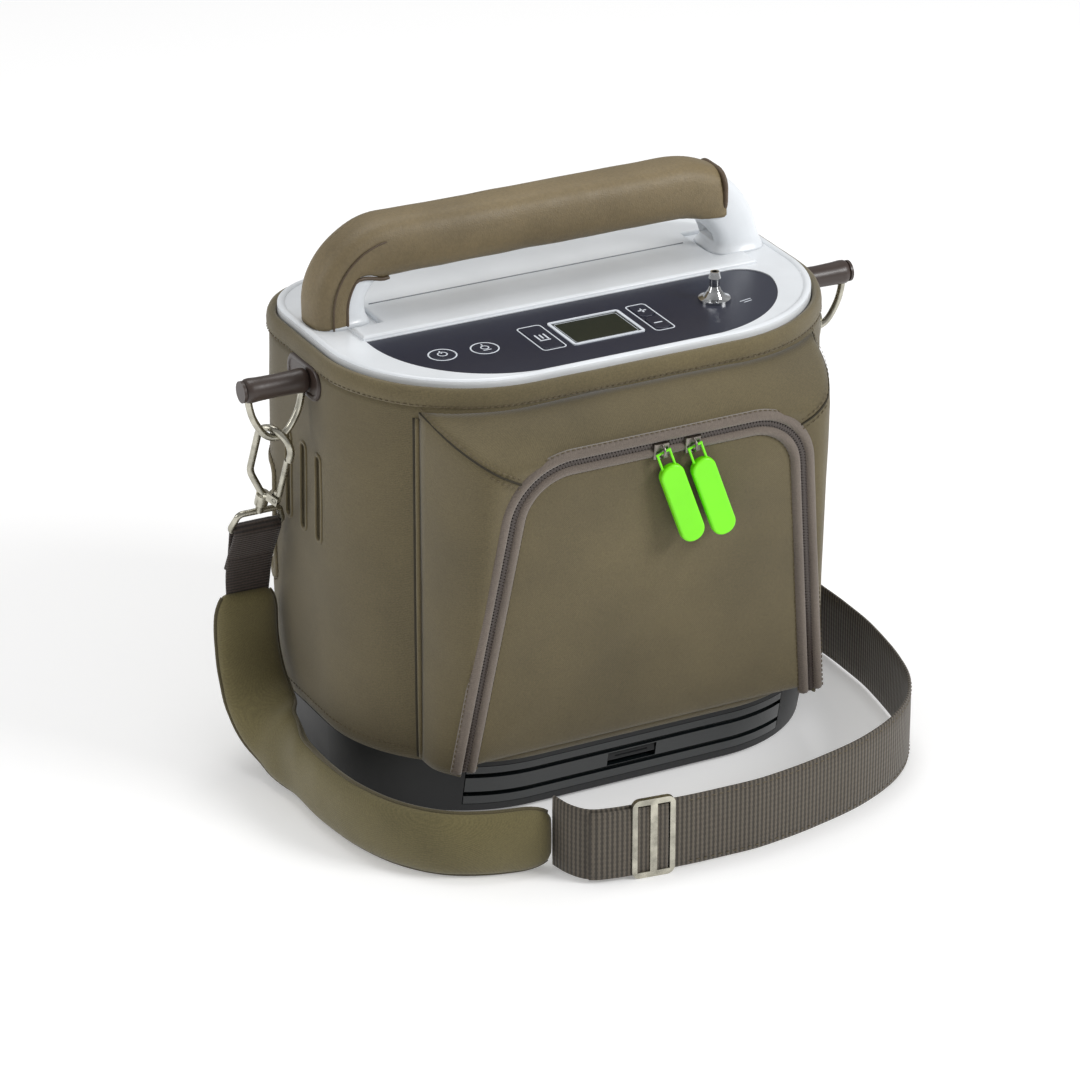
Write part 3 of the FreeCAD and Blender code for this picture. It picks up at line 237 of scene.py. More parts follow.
def outward(obj):
    """Turns every face of a closed mesh outwards."""
    bm = bmesh.new()
    bm.from_mesh(obj.data)
    bmesh.ops.recalc_face_normals(bm, faces=bm.faces)
    bm.to_mesh(obj.data)
    bm.free()
    return obj


def apply_modifiers(obj):
    """Bakes an object's modifiers into its mesh."""
    bpy.context.view_layer.update()
    graph = bpy.context.evaluated_depsgraph_get()
    made = bpy.data.meshes.new_from_object(obj.evaluated_get(graph), depsgraph=graph)
    obj.modifiers.clear()
    obj.data = made
    return obj


def grid_faces(rows, columns, closed_columns=False, start=0):
    """Quads between successive rows of points."""
    wide = columns if closed_columns else columns - 1
    return [(start + r * columns + c, start + r * columns + (c + 1) % columns,
             start + (r + 1) * columns + (c + 1) % columns, start + (r + 1) * columns + c)
            for r in range(rows - 1) for c in range(wide)]


def sweep(name, rings, material, body, closed=False, replaces=(), uv_length=None):
    """A tube through rings of points, with flat ends or joined end to end."""
    count = len(rings[0])
    verts = [p for ring in rings for p in ring]
    faces = grid_faces(len(rings), count, True)
    if closed:
        last = (len(rings) - 1) * count
        faces += [(last + c, last + (c + 1) % count, (c + 1) % count, c) for c in range(count)]
    else:
        last = (len(rings) - 1) * count
        faces += [tuple(range(count)), tuple(range(last + count - 1, last - 1, -1))]
    obj = new_piece(name, verts, faces, material, body, replaces)
    if uv_length:
        layer = obj.data.uv_layers.new(name="strip")
        for loop in obj.data.loops:
            ring, place = divmod(loop.vertex_index, count)
            across = 0.5 - 0.5 * math.cos(2 * math.pi * place / count)
            layer.data[loop.index].uv = (across, uv_length[ring] / 100)
    return outward(obj)


def frames(points, up=Vector((0, 0, 1)), closed=False):
    """Along, across and up directions at each point of a path."""
    result = []
    count = len(points)
    for i in range(count):
        before = points[i - 1] if closed or i else points[0]
        after = points[(i + 1) % count] if closed or i < count - 1 else points[-1]
        along = (after - before).normalized()
        across = along.cross(up).normalized()
        result.append((along, across, across.cross(along).normalized()))
    return result


def smooth_path(points, step=3.0, closed=False):
    """A Catmull-Rom line through the points, sampled about every step millimetres."""
    pts = [Vector(p) for p in points]
    count = len(pts)
    result = []
    spans = count if closed else count - 1
    for i in range(spans):
        if closed:
            a, b, c, d = (pts[(i + k) % count] for k in (-1, 0, 1, 2))
        else:
            a, b, c, d = (pts[min(max(i + k, 0), count - 1)] for k in (-1, 0, 1, 2))
        cuts = max(1, round((c - b).length / step))
        for j in range(cuts):
            t = j / cuts
            result.append(0.5 * (2 * b + (c - a) * t + (2 * a - 5 * b + 4 * c - d) * t * t
                                 + (3 * b - a - 3 * c + d) * t ** 3))
    if not closed:
        result.append(pts[-1])
    return result


def tube(name, points, radius, material, body, sides=10, closed=False, replaces=(), up=Vector((0, 0, 1))):
    rings = []
    for point, (_, across, high) in zip(points, frames(points, up, closed)):
        rings.append([point + (across * math.cos(a) + high * math.sin(a)) * radius
                      for a in (2 * math.pi * k / sides for k in range(sides))])
    return sweep(name, rings, material, body, closed, replaces)


def stitches(name, points, normals, body, material=None, pitch=3.2, length=2.1, radius=0.32):
    """Thread stitches lying along a path, half sunk into the cloth."""
    verts, faces = [], []
    travelled, due = 0.0, pitch / 2
    profile = ((-0.5, 0.35), (-0.3, 1.0), (0.3, 1.0), (0.5, 0.35))
    for i in range(len(points) - 1):
        run = points[i + 1] - points[i]
        while run.length > 0 and due <= travelled + run.length:
            middle = points[i] + run * ((due - travelled) / run.length)
            along, up = run.normalized(), normals[i]
            across = along.cross(up).normalized()
            start = len(verts)
            for share, wide in profile:
                for k in range(6):
                    a = math.pi * k / 3
                    verts.append(middle + along * length * share
                                 + (across * math.cos(a) + up * math.sin(a)) * radius * wide)
            faces += grid_faces(len(profile), 6, True, start)
            faces += [tuple(start + k for k in range(5, -1, -1)), tuple(start + 18 + k for k in range(6))]
            due += pitch
        travelled += run.length
    return new_piece(name, verts, faces, material or M_THREAD, body)


def boolean(obj, *cutters):
    for cutter in cutters:
        step = obj.modifiers.new("cut", "BOOLEAN")
        step.operation, step.solver, step.object = "DIFFERENCE", "EXACT", cutter
    apply_modifiers(obj)
    for cutter in cutters:
        bpy.data.objects.remove(cutter)
    return obj


def tag(side):
    return "l" if side < 0 else "r"


def soft_noise(point, size, seed=0.0):
    return noise.noise(Vector(point) / size + Vector((seed, seed * 1.7, 0)))


# ---- the case's outline
HALF_WIDE, HALF_DEEP, FRONT_R, REAR_R = 132.0, 84.0, 78.0, 42.0
FRONT_RUN = HALF_WIDE - FRONT_R
SIDE_START = FRONT_RUN + FRONT_R * math.pi / 2
SIDE_RUN = 2 * HALF_DEEP - FRONT_R - REAR_R
REAR_START = SIDE_START + SIDE_RUN
BACK_START = REAR_START + REAR_R * math.pi / 2
HALF_ROUND = BACK_START + HALF_WIDE - REAR_R


def case_normal(s):
    side, a = (1 if s >= 0 else -1), abs(s)
    if a <= FRONT_RUN:
        return Vector((0, -1, 0))
    if a <= SIDE_START:
        t = (a - FRONT_RUN) / FRONT_R
        return Vector((side * math.sin(t), -math.cos(t), 0))
    if a <= REAR_START:
        return Vector((side, 0, 0))
    t = min((a - REAR_START) / REAR_R, math.pi / 2)
    return Vector((side * math.cos(t), math.sin(t), 0))


def case_at(s, z, out=0.0):
    """The point at arc length s round the case (0 at the front middle, + to the right)."""
    side, a = (1 if s >= 0 else -1), abs(s)
    n = case_normal(s)
    if a <= FRONT_RUN:
        x, y = a, -HALF_DEEP
    elif a <= SIDE_START:
        x = FRONT_RUN + FRONT_R * abs(n.x)
        y = FRONT_R - HALF_DEEP + FRONT_R * n.y
    elif a <= REAR_START:
        x, y = HALF_WIDE, FRONT_R - HALF_DEEP + a - SIDE_START
    else:
        x = HALF_WIDE - REAR_R + REAR_R * abs(n.x) - max(0.0, a - BACK_START)
        y = HALF_DEEP - REAR_R + REAR_R * n.y
    return Vector((side * x + n.x * out, y + n.y * out, z))


def round_stations(step=4.0):
    count = round(2 * HALF_ROUND / step)
    return [-HALF_ROUND + 2 * HALF_ROUND * i / count for i in range(count)]


LOW, HIGH = 32.0, 221.0


def cloth_out(s, z):
    """How far the padded wall stands out from its nominal outline."""
    share = (z - LOW) / (HIGH - LOW)
    belly = 1.0 * math.sin(math.pi * min(max(share, 0), 1))
    p = case_at(s, z)
    wave = 0.55 * soft_noise(p, 46) + 0.22 * soft_noise(p, 17, 3)
    hem = -1.3 * max(0.0, 1 - (z - LOW) / 4.5) ** 2
    return belly + wave * min(1.0, max(0.0, share) * 8) + hem


def surface_band(name, path, half, thick, material, body="case", closed=True, lift=0.0):
    """A raised strip on the case wall along a path of (s, z) points."""
    flat = [Vector((s, z, 0)) for s, z in path]
    profile = [(-1, -0.8), (-0.86, 0.6), (-0.45, 1), (0.45, 1), (0.86, 0.6), (1, -0.8)]
    rings = []
    for point, (_, across, _) in zip(flat, frames(flat, Vector((0, 0, 1)), closed)):
        ring = []
        for u, h in profile:
            s, z = point.x + across.x * u * half, point.y + across.y * u * half
            ring.append(case_at(s, z, cloth_out(s, z) + lift + thick * h))
        rings.append(ring)
    return sweep(name, rings, material, body, closed)


def rounded_loop(s0, s1, z0, z1, r, step=2.0):
    """A rounded rectangle in (s, z)."""
    points = []
    corners = ((s1 - r, z0 + r, -90), (s1 - r, z1 - r, 0), (s0 + r, z1 - r, 90), (s0 + r, z0 + r, 180))
    for cx, cz, start in corners:
        for k in range(7):
            a = math.radians(start + 15 * k)
            points.append((cx + r * math.cos(a), cz + r * math.sin(a)))
    dense = []
    for i, (a, b) in enumerate(points):
        c, d = points[(i + 1) % len(points)]
        cuts = max(1, round(math.hypot(c - a, d - b) / step))
        dense += [(a + (c - a) * k / cuts, b + (d - b) * k / cuts) for k in range(cuts)]
    return dense


def prism_cutter(loop_points, depth_vector):
    """A closed prism from a loop of points, used to cut."""
    count = len(loop_points)
    verts = list(loop_points) + [p + depth_vector for p in loop_points]
    faces = [tuple(range(count)), tuple(range(2 * count - 1, count - 1, -1))]
    faces += [(i, (i + 1) % count, count + (i + 1) % count, count + i) for i in range(count)]
    return outward(new_piece("cutter", verts, faces, M_CASE, None))


VENT_ROWS = (-5.0, 12.0, 29.0)
VENT_LOW, VENT_HIGH, VENT_WIDE = 132.0, 176.0, 4.4


def make_case():
    stations = round_stations()
    heights = [31.6, 32.2, 33.4, 35, 37.5] + [41 + 4.5 * i for i in range(40)] + [HIGH]
    verts = [case_at(s, z, cloth_out(s, z)) for z in heights for s in stations]
    inner_high = len(heights)
    verts += [case_at(s, z, -3.7) for z in heights for s in stations]
    count = len(stations)
    faces = grid_faces(inner_high, count, True)
    faces += [tuple(reversed(f)) for f in grid_faces(inner_high, count, True, inner_high * count)]
    top, low = (inner_high - 1) * count, inner_high * count
    for c in range(count):
        d = (c + 1) % count
        faces.append((top + c, top + d, low + top + d, low + top + c))
        faces.append((d, c, low + c, low + d))
    wall = outward(new_piece("case_cloth", verts, faces, M_CASE, None))
    cutters = []
    for y in VENT_ROWS:
        slit = rounded_loop(-VENT_WIDE / 2, VENT_WIDE / 2, VENT_LOW, VENT_HIGH, 2.1, 50)
        loop = [Vector((-150, y + a, b)) for a, b in slit]
        cutters.append(prism_cutter(loop, Vector((300, 0, 0))))
    bpy.ops.mesh.primitive_cube_add(size=1, location=(-0.128, 0.082, 0.120))
    window = bpy.context.object
    window.scale = (0.064, 0.070, 0.062)
    bpy.ops.object.transform_apply(location=True, scale=True)
    bevel = window.modifiers.new("round", "BEVEL")
    bevel.width, bevel.segments = 0.007, 4
    apply_modifiers(window)
    boolean(wall, *cutters, window)
    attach(wall, "case")
    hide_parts("carry_case")
    for side in (-1, 1):
        for i, y in enumerate(VENT_ROWS):
            s = side * (SIDE_START + y + HALF_DEEP - FRONT_R)
            loop = rounded_loop(s - 3.1, s + 3.1, VENT_LOW - 1, VENT_HIGH + 1, 3.0, 3)
            surface_band(f"vent_welt_{tag(side)}{i}", loop, 1.0, 0.75, M_RIM)
    hem = rounded_loop(-284.0, -230.0, 89.5, 150.5, 6, 3)
    surface_band("window_hem", hem, 2.6, 1.0, M_RIM)
    path = [(a, b) for a, b in rounded_loop(-286.6, -227.4, 87.0, 153.0, 7, 2)]
    points = [case_at(s, z, cloth_out(s, z) + 0.4) for s, z in path]
    stitches("window_stitch", points, [case_normal(s) for s, _ in path], "case")


def make_rim():
    """Padded binding round the case's mouth, with its stitch line."""
    profile = [(-3.9, 219.6), (-3.95, 226.8), (-3.3, 228.9), (-1.7, 229.8), (-0.1, 229.0), (0.75, 227.2),
               (1.15, 224.6), (1.05, 222.2), (0.4, 220.2), (-0.4, 219.2), (-2, 218.8)]
    rings = []
    for s in round_stations(3.0):
        swell = 0.30 * soft_noise(case_at(s, 225), 20, 5) + 0.12 * soft_noise(case_at(s, 225), 7, 8)
        rings.append([case_at(s, z, o + (swell if o > -3 else 0)) for o, z in profile])
    band = sweep("case_rim", rings, M_RIM, "case", True, ["case_binding"])
    stations = round_stations(2.0)
    stations.append(stations[0])
    points = [case_at(s, 220.9, 0.95) for s in stations]
    stitches("rim_stitch", points, [case_normal(s) for s in stations], "case")
    points = [case_at(s, 38.2, cloth_out(s, 38.2) + 0.05) for s in stations]
    stitches("hem_stitch", points, [case_normal(s) for s in stations], "case")


# ---- pocket and zip
LEAN = math.radians(7.2)
FLAP_UP = Vector((0, -math.sin(LEAN), math.cos(LEAN)))
FLAP_OUT = Vector((0, -math.cos(LEAN), -math.sin(LEAN)))
FLAP_FOOT = Vector((0, -87, 36))
FLAP_HALF, FLAP_TALL, FLAP_R, FLAP_SLOPE = 96.0, 162.0, 30.0, math.radians(7.5)


def flap_at(x, v, out=0.0):
    return FLAP_FOOT + Vector((x, 0, 0)) + FLAP_UP * v + FLAP_OUT * out


def arch(grow, foot=0.0, step=3.0):
    """The flap's outline without its foot, from the left foot over the top to the right, in (x, v)."""
    half, tall, r = FLAP_HALF + grow, FLAP_TALL + grow, FLAP_R + grow
    lean_x, lean_y = math.sin(FLAP_SLOPE), math.cos(FLAP_SLOPE)
    cy = tall - r
    cx = half - (cy + r * lean_x) * math.tan(FLAP_SLOPE) - r * lean_y
    end = (cx + r * lean_y, cy + r * lean_x)
    right = []
    cuts = max(2, round(end[1] / step))
    for k in range(cuts):
        v = foot + (end[1] - foot) * k / cuts
        right.append((half - v * math.tan(FLAP_SLOPE), v))
    cuts = max(4, round(r * 1.45 / step))
    for k in range(cuts + 1):
        a = FLAP_SLOPE + (math.pi / 2 - FLAP_SLOPE) * k / cuts
        right.append((cx + r * math.cos(a), cy + r * math.sin(a)))
    cuts = max(2, round(cx / step))
    right += [(cx * (1 - k / cuts), tall) for k in range(1, cuts)]
    left = [(-x, v) for x, v in right]
    return left + [(0.0, tall)] + right[::-1]


def spaced(points, count):
    """The same line with count points at even spacing."""
    points = [Vector(p) for p in points]
    lengths = [0.0]
    for a, b in zip(points, points[1:]):
        lengths.append(lengths[-1] + (b - a).length)
    result, i = [], 0
    for k in range(count):
        want = lengths[-1] * k / (count - 1)
        while i < len(lengths) - 2 and lengths[i + 1] < want:
            i += 1
        span = lengths[i + 1] - lengths[i]
        result.append(points[i].lerp(points[i + 1], (want - lengths[i]) / span if span else 0))
    return result


SEAM_S = FRONT_RUN + FRONT_R * math.asin((107 - FRONT_RUN) / FRONT_R)
SIDE_COUNT, TOP_COUNT = 46, 64


def three_runs(left, top):
    """Left run, top run and mirrored right run, as one even list."""
    left, top = spaced(left, SIDE_COUNT), spaced(top, TOP_COUNT)
    right = [Vector((-p.x, p.y, p.z)) for p in reversed(left)]
    return left[:-1] + top + right[1:]


def make_pocket():
    corner_x, edge_v = 91.5, 166.0
    wall = three_runs([case_at(-SEAM_S, z, -0.6) for z in (33, 80, 130, 180, 217)],
                      [case_at(-SEAM_S + 2 * SEAM_S * k / 40, 217 + 1.6 * math.sin(math.pi * k / 40), -0.6)
                       for k in range(41)])
    edge = three_runs([flap_at(-99.0 + 7.5 * k / 8, -3 + (edge_v + 3) * k / 8) for k in range(9)],
                      [flap_at(-corner_x + 2 * corner_x * k / 8, edge_v) for k in range(9)])
    hole = [flap_at(x, v) for x, v in arch(2.2, -3.0)]
    split = min(range(len(hole) // 2), key=lambda i: abs(math.degrees(math.atan2(
        hole[i].z - flap_at(0, FLAP_TALL - FLAP_R).z, -(hole[i].x + 50))) - 45))
    lip = three_runs(hole[:split + 1], hole[split:len(hole) - split])
    rows = []
    for k in range(8):
        t = k / 7
        row = []
        for i, (a, b) in enumerate(zip(wall, edge)):
            on_top = SIDE_COUNT <= i < SIDE_COUNT + TOP_COUNT - 2
            away = Vector((a.x * 0.010, -0.6, 0.55 if on_top else 0)).normalized()
            swell = 3.2 * math.sin(math.pi * t)
            swell += 0.8 * soft_noise(a.lerp(b, t), 26, 2) * math.sin(math.pi * t)
            row.append(a.lerp(b, t) + away * swell)
        rows.append(row)
    for k in range(1, 5):
        t = k / 4
        rise = FLAP_OUT * (1.6 * math.sin(math.pi * t) - 0.3 * t)
        rows.append([b.lerp(c, t) + rise for b, c in zip(edge, lip)])
    for _ in range(2):
        eased = [[0.25 * p + 0.5 * q + 0.25 * r for p, q, r in zip(*rows[k - 1:k + 2])]
                 for k in range(1, len(rows) - 1)]
        rows = [rows[0]] + eased + [rows[-1]]
    for corner in (SIDE_COUNT - 1, SIDE_COUNT + TOP_COUNT - 2):
        for reach, depth in ((0, 1.1), (1, 0.35), (-1, 0.35)):
            for k in range(1, 9):
                p = rows[k][corner + reach]
                rows[k][corner + reach] = p + (Vector((0, -30, 120)) - p).normalized() * depth
    rows.append([p - FLAP_OUT * 2.2 for p in rows[-1]])
    count = len(rows[0])
    verts = [p for row in rows for p in row]
    gusset = new_piece("pocket_wall", verts, grid_faces(len(rows), count), M_POCKET_PAINTED_LIGHT, None)
    thick = gusset.modifiers.new("thick", "SOLIDIFY")
    thick.thickness, thick.offset = 0.0014, 0
    apply_modifiers(gusset)
    outward(gusset)
    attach(gusset, "case")
    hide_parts("pocket_gusset")
    for side in (-1, 1):
        label = tag(side)
        path = [(side * (SEAM_S + 0.4), z) for z in range(34, 218, 4)]
        surface_band(f"pocket_piping_{label}", path, 1.2, 1.2, M_RIM, closed=False)
        # A dark strip beside each side seam: painted shade in the crease.
        shadow = [(side * (SEAM_S + 2.1), z) for z in range(34, 218, 4)]
        surface_band(f"pocket_crease_shade_{label}", shadow, 0.8, 0.35, M_CREASE_SHADE, closed=False)
        column = SIDE_COUNT - 1 if side < 0 else SIDE_COUNT + TOP_COUNT - 2
        # A dark tube down each mitre fold: painted shade in the crease.
        mitre = smooth_path([rows[k][column] for k in range(0, 12)], 2)
        tube(f"mitre_crease_shade_{label}", [p + FLAP_OUT * 0.9 for p in mitre], 0.55, M_CREASE_SHADE, "case", 8)
        for shift in (-2.6, 2.6):
            beside = [p + Vector((0, 0, shift)) + FLAP_OUT * 1.25 for p in mitre]
            row = f"mitre_stitch_{label}{'a' if shift < 0 else 'b'}"
            stitches(row, beside, [FLAP_OUT] * len(beside), "case")


def flap_height(x, v):
    """Crown of the padded flap above its own plane."""
    half = FLAP_HALF - v * math.tan(FLAP_SLOPE)
    near = min(half - abs(x), FLAP_TALL - v, v + 4)
    dip = math.hypot(max(0.0, abs(x) - (half - FLAP_R)), max(0.0, v - (FLAP_TALL - FLAP_R)))
    near = min(near, FLAP_R - dip) if dip > 0 else near
    rise = 1 - math.exp(-max(near, 0) / 14)
    p = flap_at(x, v)
    return 2.3 * rise + (0.5 * soft_noise(p, 38, 4) + 0.15 * soft_noise(p, 12, 6)) * rise


def make_flap():
    edge = arch(-0.6, 0.4, 3.0)
    foot = [(FLAP_HALF - 1 - 2 * (FLAP_HALF - 1) * k / 48, 0.4) for k in range(1, 48)]
    outline = edge + foot
    centre = (0.0, 77.0)
    shares = (1.0, 0.985, 0.965, 0.93, 0.88, 0.8, 0.7, 0.58, 0.45, 0.32, 0.2, 0.1)
    sinks = (-1.5, -0.5, -0.1) + (0.0,) * 9
    verts = []
    for share, sink in zip(shares, sinks):
        for x, v in outline:
            px, pv = centre[0] + (x - centre[0]) * share, centre[1] + (v - centre[1]) * share
            verts.append(flap_at(px, pv, flap_height(px, pv) + sink))
    count, rings = len(outline), len(shares)
    faces = grid_faces(rings, count, True)
    verts.append(flap_at(*centre, flap_height(*centre)))
    tip = len(verts) - 1
    faces += [((rings - 1) * count + c, (rings - 1) * count + (c + 1) % count, tip) for c in range(count)]
    start = len(verts)
    verts += [flap_at(x, v, -2.3) for x, v in outline]
    faces += [(c, start + c, start + (c + 1) % count, (c + 1) % count) for c in range(count)]
    faces.append(tuple(range(start, start + count)))
    door = outward(new_piece("pocket_door", verts, faces, M_POCKET_PAINTED_LIGHT, "flap", ["pocket_flap"]))


def zip_run(grow, foot=-1.0):
    """Points along the zip with their sideways and outward directions."""
    points = [flap_at(x, v) for x, v in arch(grow, foot, 1.6)]
    sides = [across for _, across, _ in frames(points, FLAP_OUT)]
    return points, sides


def zip_strip(name, profile, body, material):
    points, sides = zip_run(0.5)
    rings = [[p + side * o + FLAP_OUT * h for o, h in profile] for p, side in zip(points, sides)]
    return sweep(name, rings, material, body)


# Sections of one tooth: reach across the zip, half length along it, bottom and top.
TOOTH = ((-0.75, 0.32, 0.5, 1.5), (0.2, 0.55, 0.4, 1.75), (2.0, 0.42, 0.4, 1.5))


def zip_teeth(name, body, way, shift):
    points, sides = zip_run(0.5)
    verts, faces = [], []
    travelled, due, pitch = 0.0, shift, 1.7
    for i in range(len(points) - 1):
        run = points[i + 1] - points[i]
        while due <= travelled + run.length:
            middle = points[i] + run * ((due - travelled) / run.length)
            along, across = run.normalized(), sides[i] * way
            start = len(verts)
            for reach, half, low, high in TOOTH:
                for a, b in ((-half, low), (half, low), (half, high), (-half, high)):
                    verts.append(middle + across * reach + along * a + FLAP_OUT * b)
            faces += grid_faces(3, 4, True, start)
            faces += [(start + 3, start + 2, start + 1, start), tuple(start + 8 + k for k in range(4))]
            due += pitch
        travelled += run.length
    return outward(new_piece(name, verts, faces, M_TEETH, body, smooth=False))


def make_zip():
    outer = [(0.4, -0.3), (0.5, 0.5), (1.3, 0.8), (1.9, 2.1), (3.3, 3.0), (5.0, 2.7), (6.4, 1.3), (7.0, -0.2)]
    inner = [(-o, h) for o, h in reversed(outer)]
    points, sides = zip_run(0.5)
    way = 1 if (points[10] + sides[10]).x < points[10].x else -1
    for name, profile, body in (("zip_tape_case", outer, "case"), ("zip_tape_flap", inner, "flap")):
        turned = [(o * way, h) for o, h in profile]
        zip_strip(name, turned, body, M_TAPE)
        ridge = 6.9 if body == "case" else -6.9
        line = [p + side * ridge * way + FLAP_OUT * 0.9 for p, side in zip(points, sides)]
        stitches(name + "_stitch", line, [FLAP_OUT] * len(line), body, pitch=2.8, length=1.9, radius=0.28)
    zip_teeth("zip_teeth_case", "case", way, 0.8)
    zip_teeth("zip_teeth_flap", "flap", -way, 1.65)


# ---- top, panel and handle
def flat_loop(centre, half_x, half_y, r, steps=6):
    points = []
    for sx, sy, start in ((1, -1, -90), (1, 1, 0), (-1, 1, 90), (-1, -1, 180)):
        for k in range(steps + 1):
            a = math.radians(start + 90 * k / steps)
            points.append(Vector((centre[0] + sx * (half_x - r) + r * math.cos(a),
                                  centre[1] + sy * (half_y - r) + r * math.sin(a), 0)))
    return points


def printed_loop(name, centre, half_x, half_y, r, z, body, line=0.7):
    """A thin printed outline."""
    outer = flat_loop(centre, half_x, half_y, r)
    inner = flat_loop(centre, half_x - line, half_y - line, max(r - line, 0.2))
    rings = [[Vector((a.x, a.y, z)), Vector((a.x, a.y, z + 0.09)), Vector((b.x, b.y, z + 0.09)),
              Vector((b.x, b.y, z))] for a, b in zip(outer, inner)]
    return sweep(name, rings, M_MARK, body, True)


def printed_bars(name, bars, z, body):
    """Printed strokes, each (x, y, length, thickness, degrees)."""
    verts, faces = [], []
    for x, y, length, thick, angle in bars:
        turn = Matrix.Rotation(math.radians(angle), 3, "Z")
        start = len(verts)
        loop = flat_loop((0, 0), length / 2, thick / 2, thick / 2 - 0.01, 3)
        for high in (z, z + 0.09):
            verts += [turn @ p + Vector((x, y, high)) for p in loop]
        count = len(loop)
        faces += grid_faces(2, count, True, start)
        faces.append(tuple(start + k for k in range(count - 1, -1, -1)))
        faces.append(tuple(start + count + k for k in range(count)))
    return new_piece(name, verts, faces, M_MARK, body, smooth=False)


def make_panel_marks():
    top, cap = 231.6, 232.0
    printed_loop("power_ring", (-81.5, -37.5), 7.2, 7.2, 7.19, top, "case", 0.8)
    printed_loop("alarm_ring", (-60, -39.5), 7.2, 7.2, 7.19, top, "case", 0.8)
    printed_loop("power_arc", (-81.5, -37.5), 2.6, 2.6, 2.59, cap, "power_key", 0.6)
    printed_bars("power_bar", [(-81.5, -35.2, 3.2, 0.7, 90)], cap, "power_key")
    printed_loop("alarm_arc", (-60, -39.5), 2.2, 2.2, 2.19, cap, "alarm_key", 0.6)
    printed_bars("alarm_bar", [(-60, -42.6, 4.4, 0.6, 0), (-60, -36.2, 1.6, 0.7, 90)], cap, "alarm_key")
    printed_loop("mode_frame", (-30, -40.5), 6.6, 15.2, 2.4, top, "case", 0.7)
    comb = [(-32.3, -40.5, 6.5, 0.9, 90), (-30, -40.2, 5.0, 0.9, 90),
            (-27.7, -40.5, 6.5, 0.9, 90), (-30, -44.6, 6.0, 0.9, 0)]
    printed_bars("mode_bars", comb, cap, "mode_key")
    printed_loop("level_frame", (28.4, -41.8), 5.6, 17.0, 2.6, top, "case", 0.7)
    printed_bars("plus_bars", [(28.4, -33.5, 4.6, 0.9, 0), (28.4, -33.5, 4.6, 0.9, 90)], cap, "plus_key")
    printed_bars("minus_bars", [(28.4, -50, 4.6, 0.9, 0)], cap, "minus_key")
    printed_bars("outlet_bars", [(80, -44, 7, 0.5, 12), (80.4, -46, 5, 0.5, 12)], top, "case")
    printed_loop("lcd_line", (-1, -41.5), 17.0, 12.4, 1.4, 231.6, "case", 0.25)


def make_deck_lip():
    """Rounded white edge between the rim and the panel."""
    profile = [(-8.2, 231.9), (-7.6, 232.5), (-6.4, 232.9), (-5.2, 232.6), (-4.5, 231.8), (-4.3, 230.5),
               (-4.4, 228.2), (-6.5, 227.5), (-8.2, 229)]
    rings = [[case_at(s, z, o) for o, z in profile] for s in round_stations(3.0)]
    lip = sweep("deck_lip", rings, M_WHITE, "case", True)
    # Thin dark lines along the panel's back edge and the deck's step: painted shade in the joint and under
    # the step.
    for y, z, reach in ((-3.4, 232.1, 106), (30, 234.1, 88)):
        line = [Vector((x, y, z)) for x in range(-reach, reach + 1, 6)]
        tube(f"deck_seam_shade_{round(z)}", line, 0.32, M_DECK_SHADE, "case", 6)


HANDLE_Y, HANDLE_X, LINE_Z, FOOT_Z = 25.0, 109.0, 267.0, 232.2
GRIP_OUT, GRIP_IN, GRIP_DEEP = 15.0, 15.0, 14.0
LEFT_R, RIGHT_R = 27.0, 34.0


def handle_line(step=2.0):
    """Points and outward directions along the middle of the handle, from the left foot."""
    result = []

    def straight(a, b, n):
        cuts = max(1, round((Vector(b) - Vector(a)).length / step))
        for k in range(cuts):
            p = Vector(a).lerp(Vector(b), k / cuts)
            result.append((Vector((p.x, HANDLE_Y, p.y)), Vector(n)))

    def bend(cx, cz, r, start, end):
        cuts = max(4, round(r * math.radians(abs(end - start)) / step))
        for k in range(cuts):
            a = math.radians(start + (end - start) * k / cuts)
            n = Vector((math.cos(a), 0, math.sin(a)))
            result.append((Vector((cx, HANDLE_Y, cz)) + n * r, n))

    straight((-HANDLE_X, FOOT_Z), (-HANDLE_X, LINE_Z - LEFT_R), (-1, 0, 0))
    bend(-HANDLE_X + LEFT_R, LINE_Z - LEFT_R, LEFT_R, 180, 90)
    straight((-HANDLE_X + LEFT_R, LINE_Z), (HANDLE_X - RIGHT_R, LINE_Z), (0, 0, 1))
    bend(HANDLE_X - RIGHT_R, LINE_Z - RIGHT_R, RIGHT_R, 90, 0)
    straight((HANDLE_X, LINE_Z - RIGHT_R), (HANDLE_X, FOOT_Z - 0.2), (1, 0, 0))
    result.append((Vector((HANDLE_X, HANDLE_Y, FOOT_Z - 0.2)), Vector((1, 0, 0))))
    return result


def oval(middle, out, half_out, half_in, half_deep, sides=36, power=0.72):
    """A soft square round a point: out is one direction, Y the other."""
    ring = []
    for k in range(sides):
        a = 2 * math.pi * k / sides
        c, s = math.cos(a), math.sin(a)
        c, s = math.copysign(abs(c) ** power, c), math.copysign(abs(s) ** power, s)
        ring.append(middle + out * (c * (half_out if c > 0 else half_in)) + Vector((0, s * half_deep, 0)))
    return ring


def web_side(z):
    """How far the leather reaches inwards: it leaves the left leg's inner side to the white web."""
    share = min(1.0, max(0.0, (z - 255) / 11.5))
    return 1.0 + 14.0 * share * share * (3 - 2 * share)


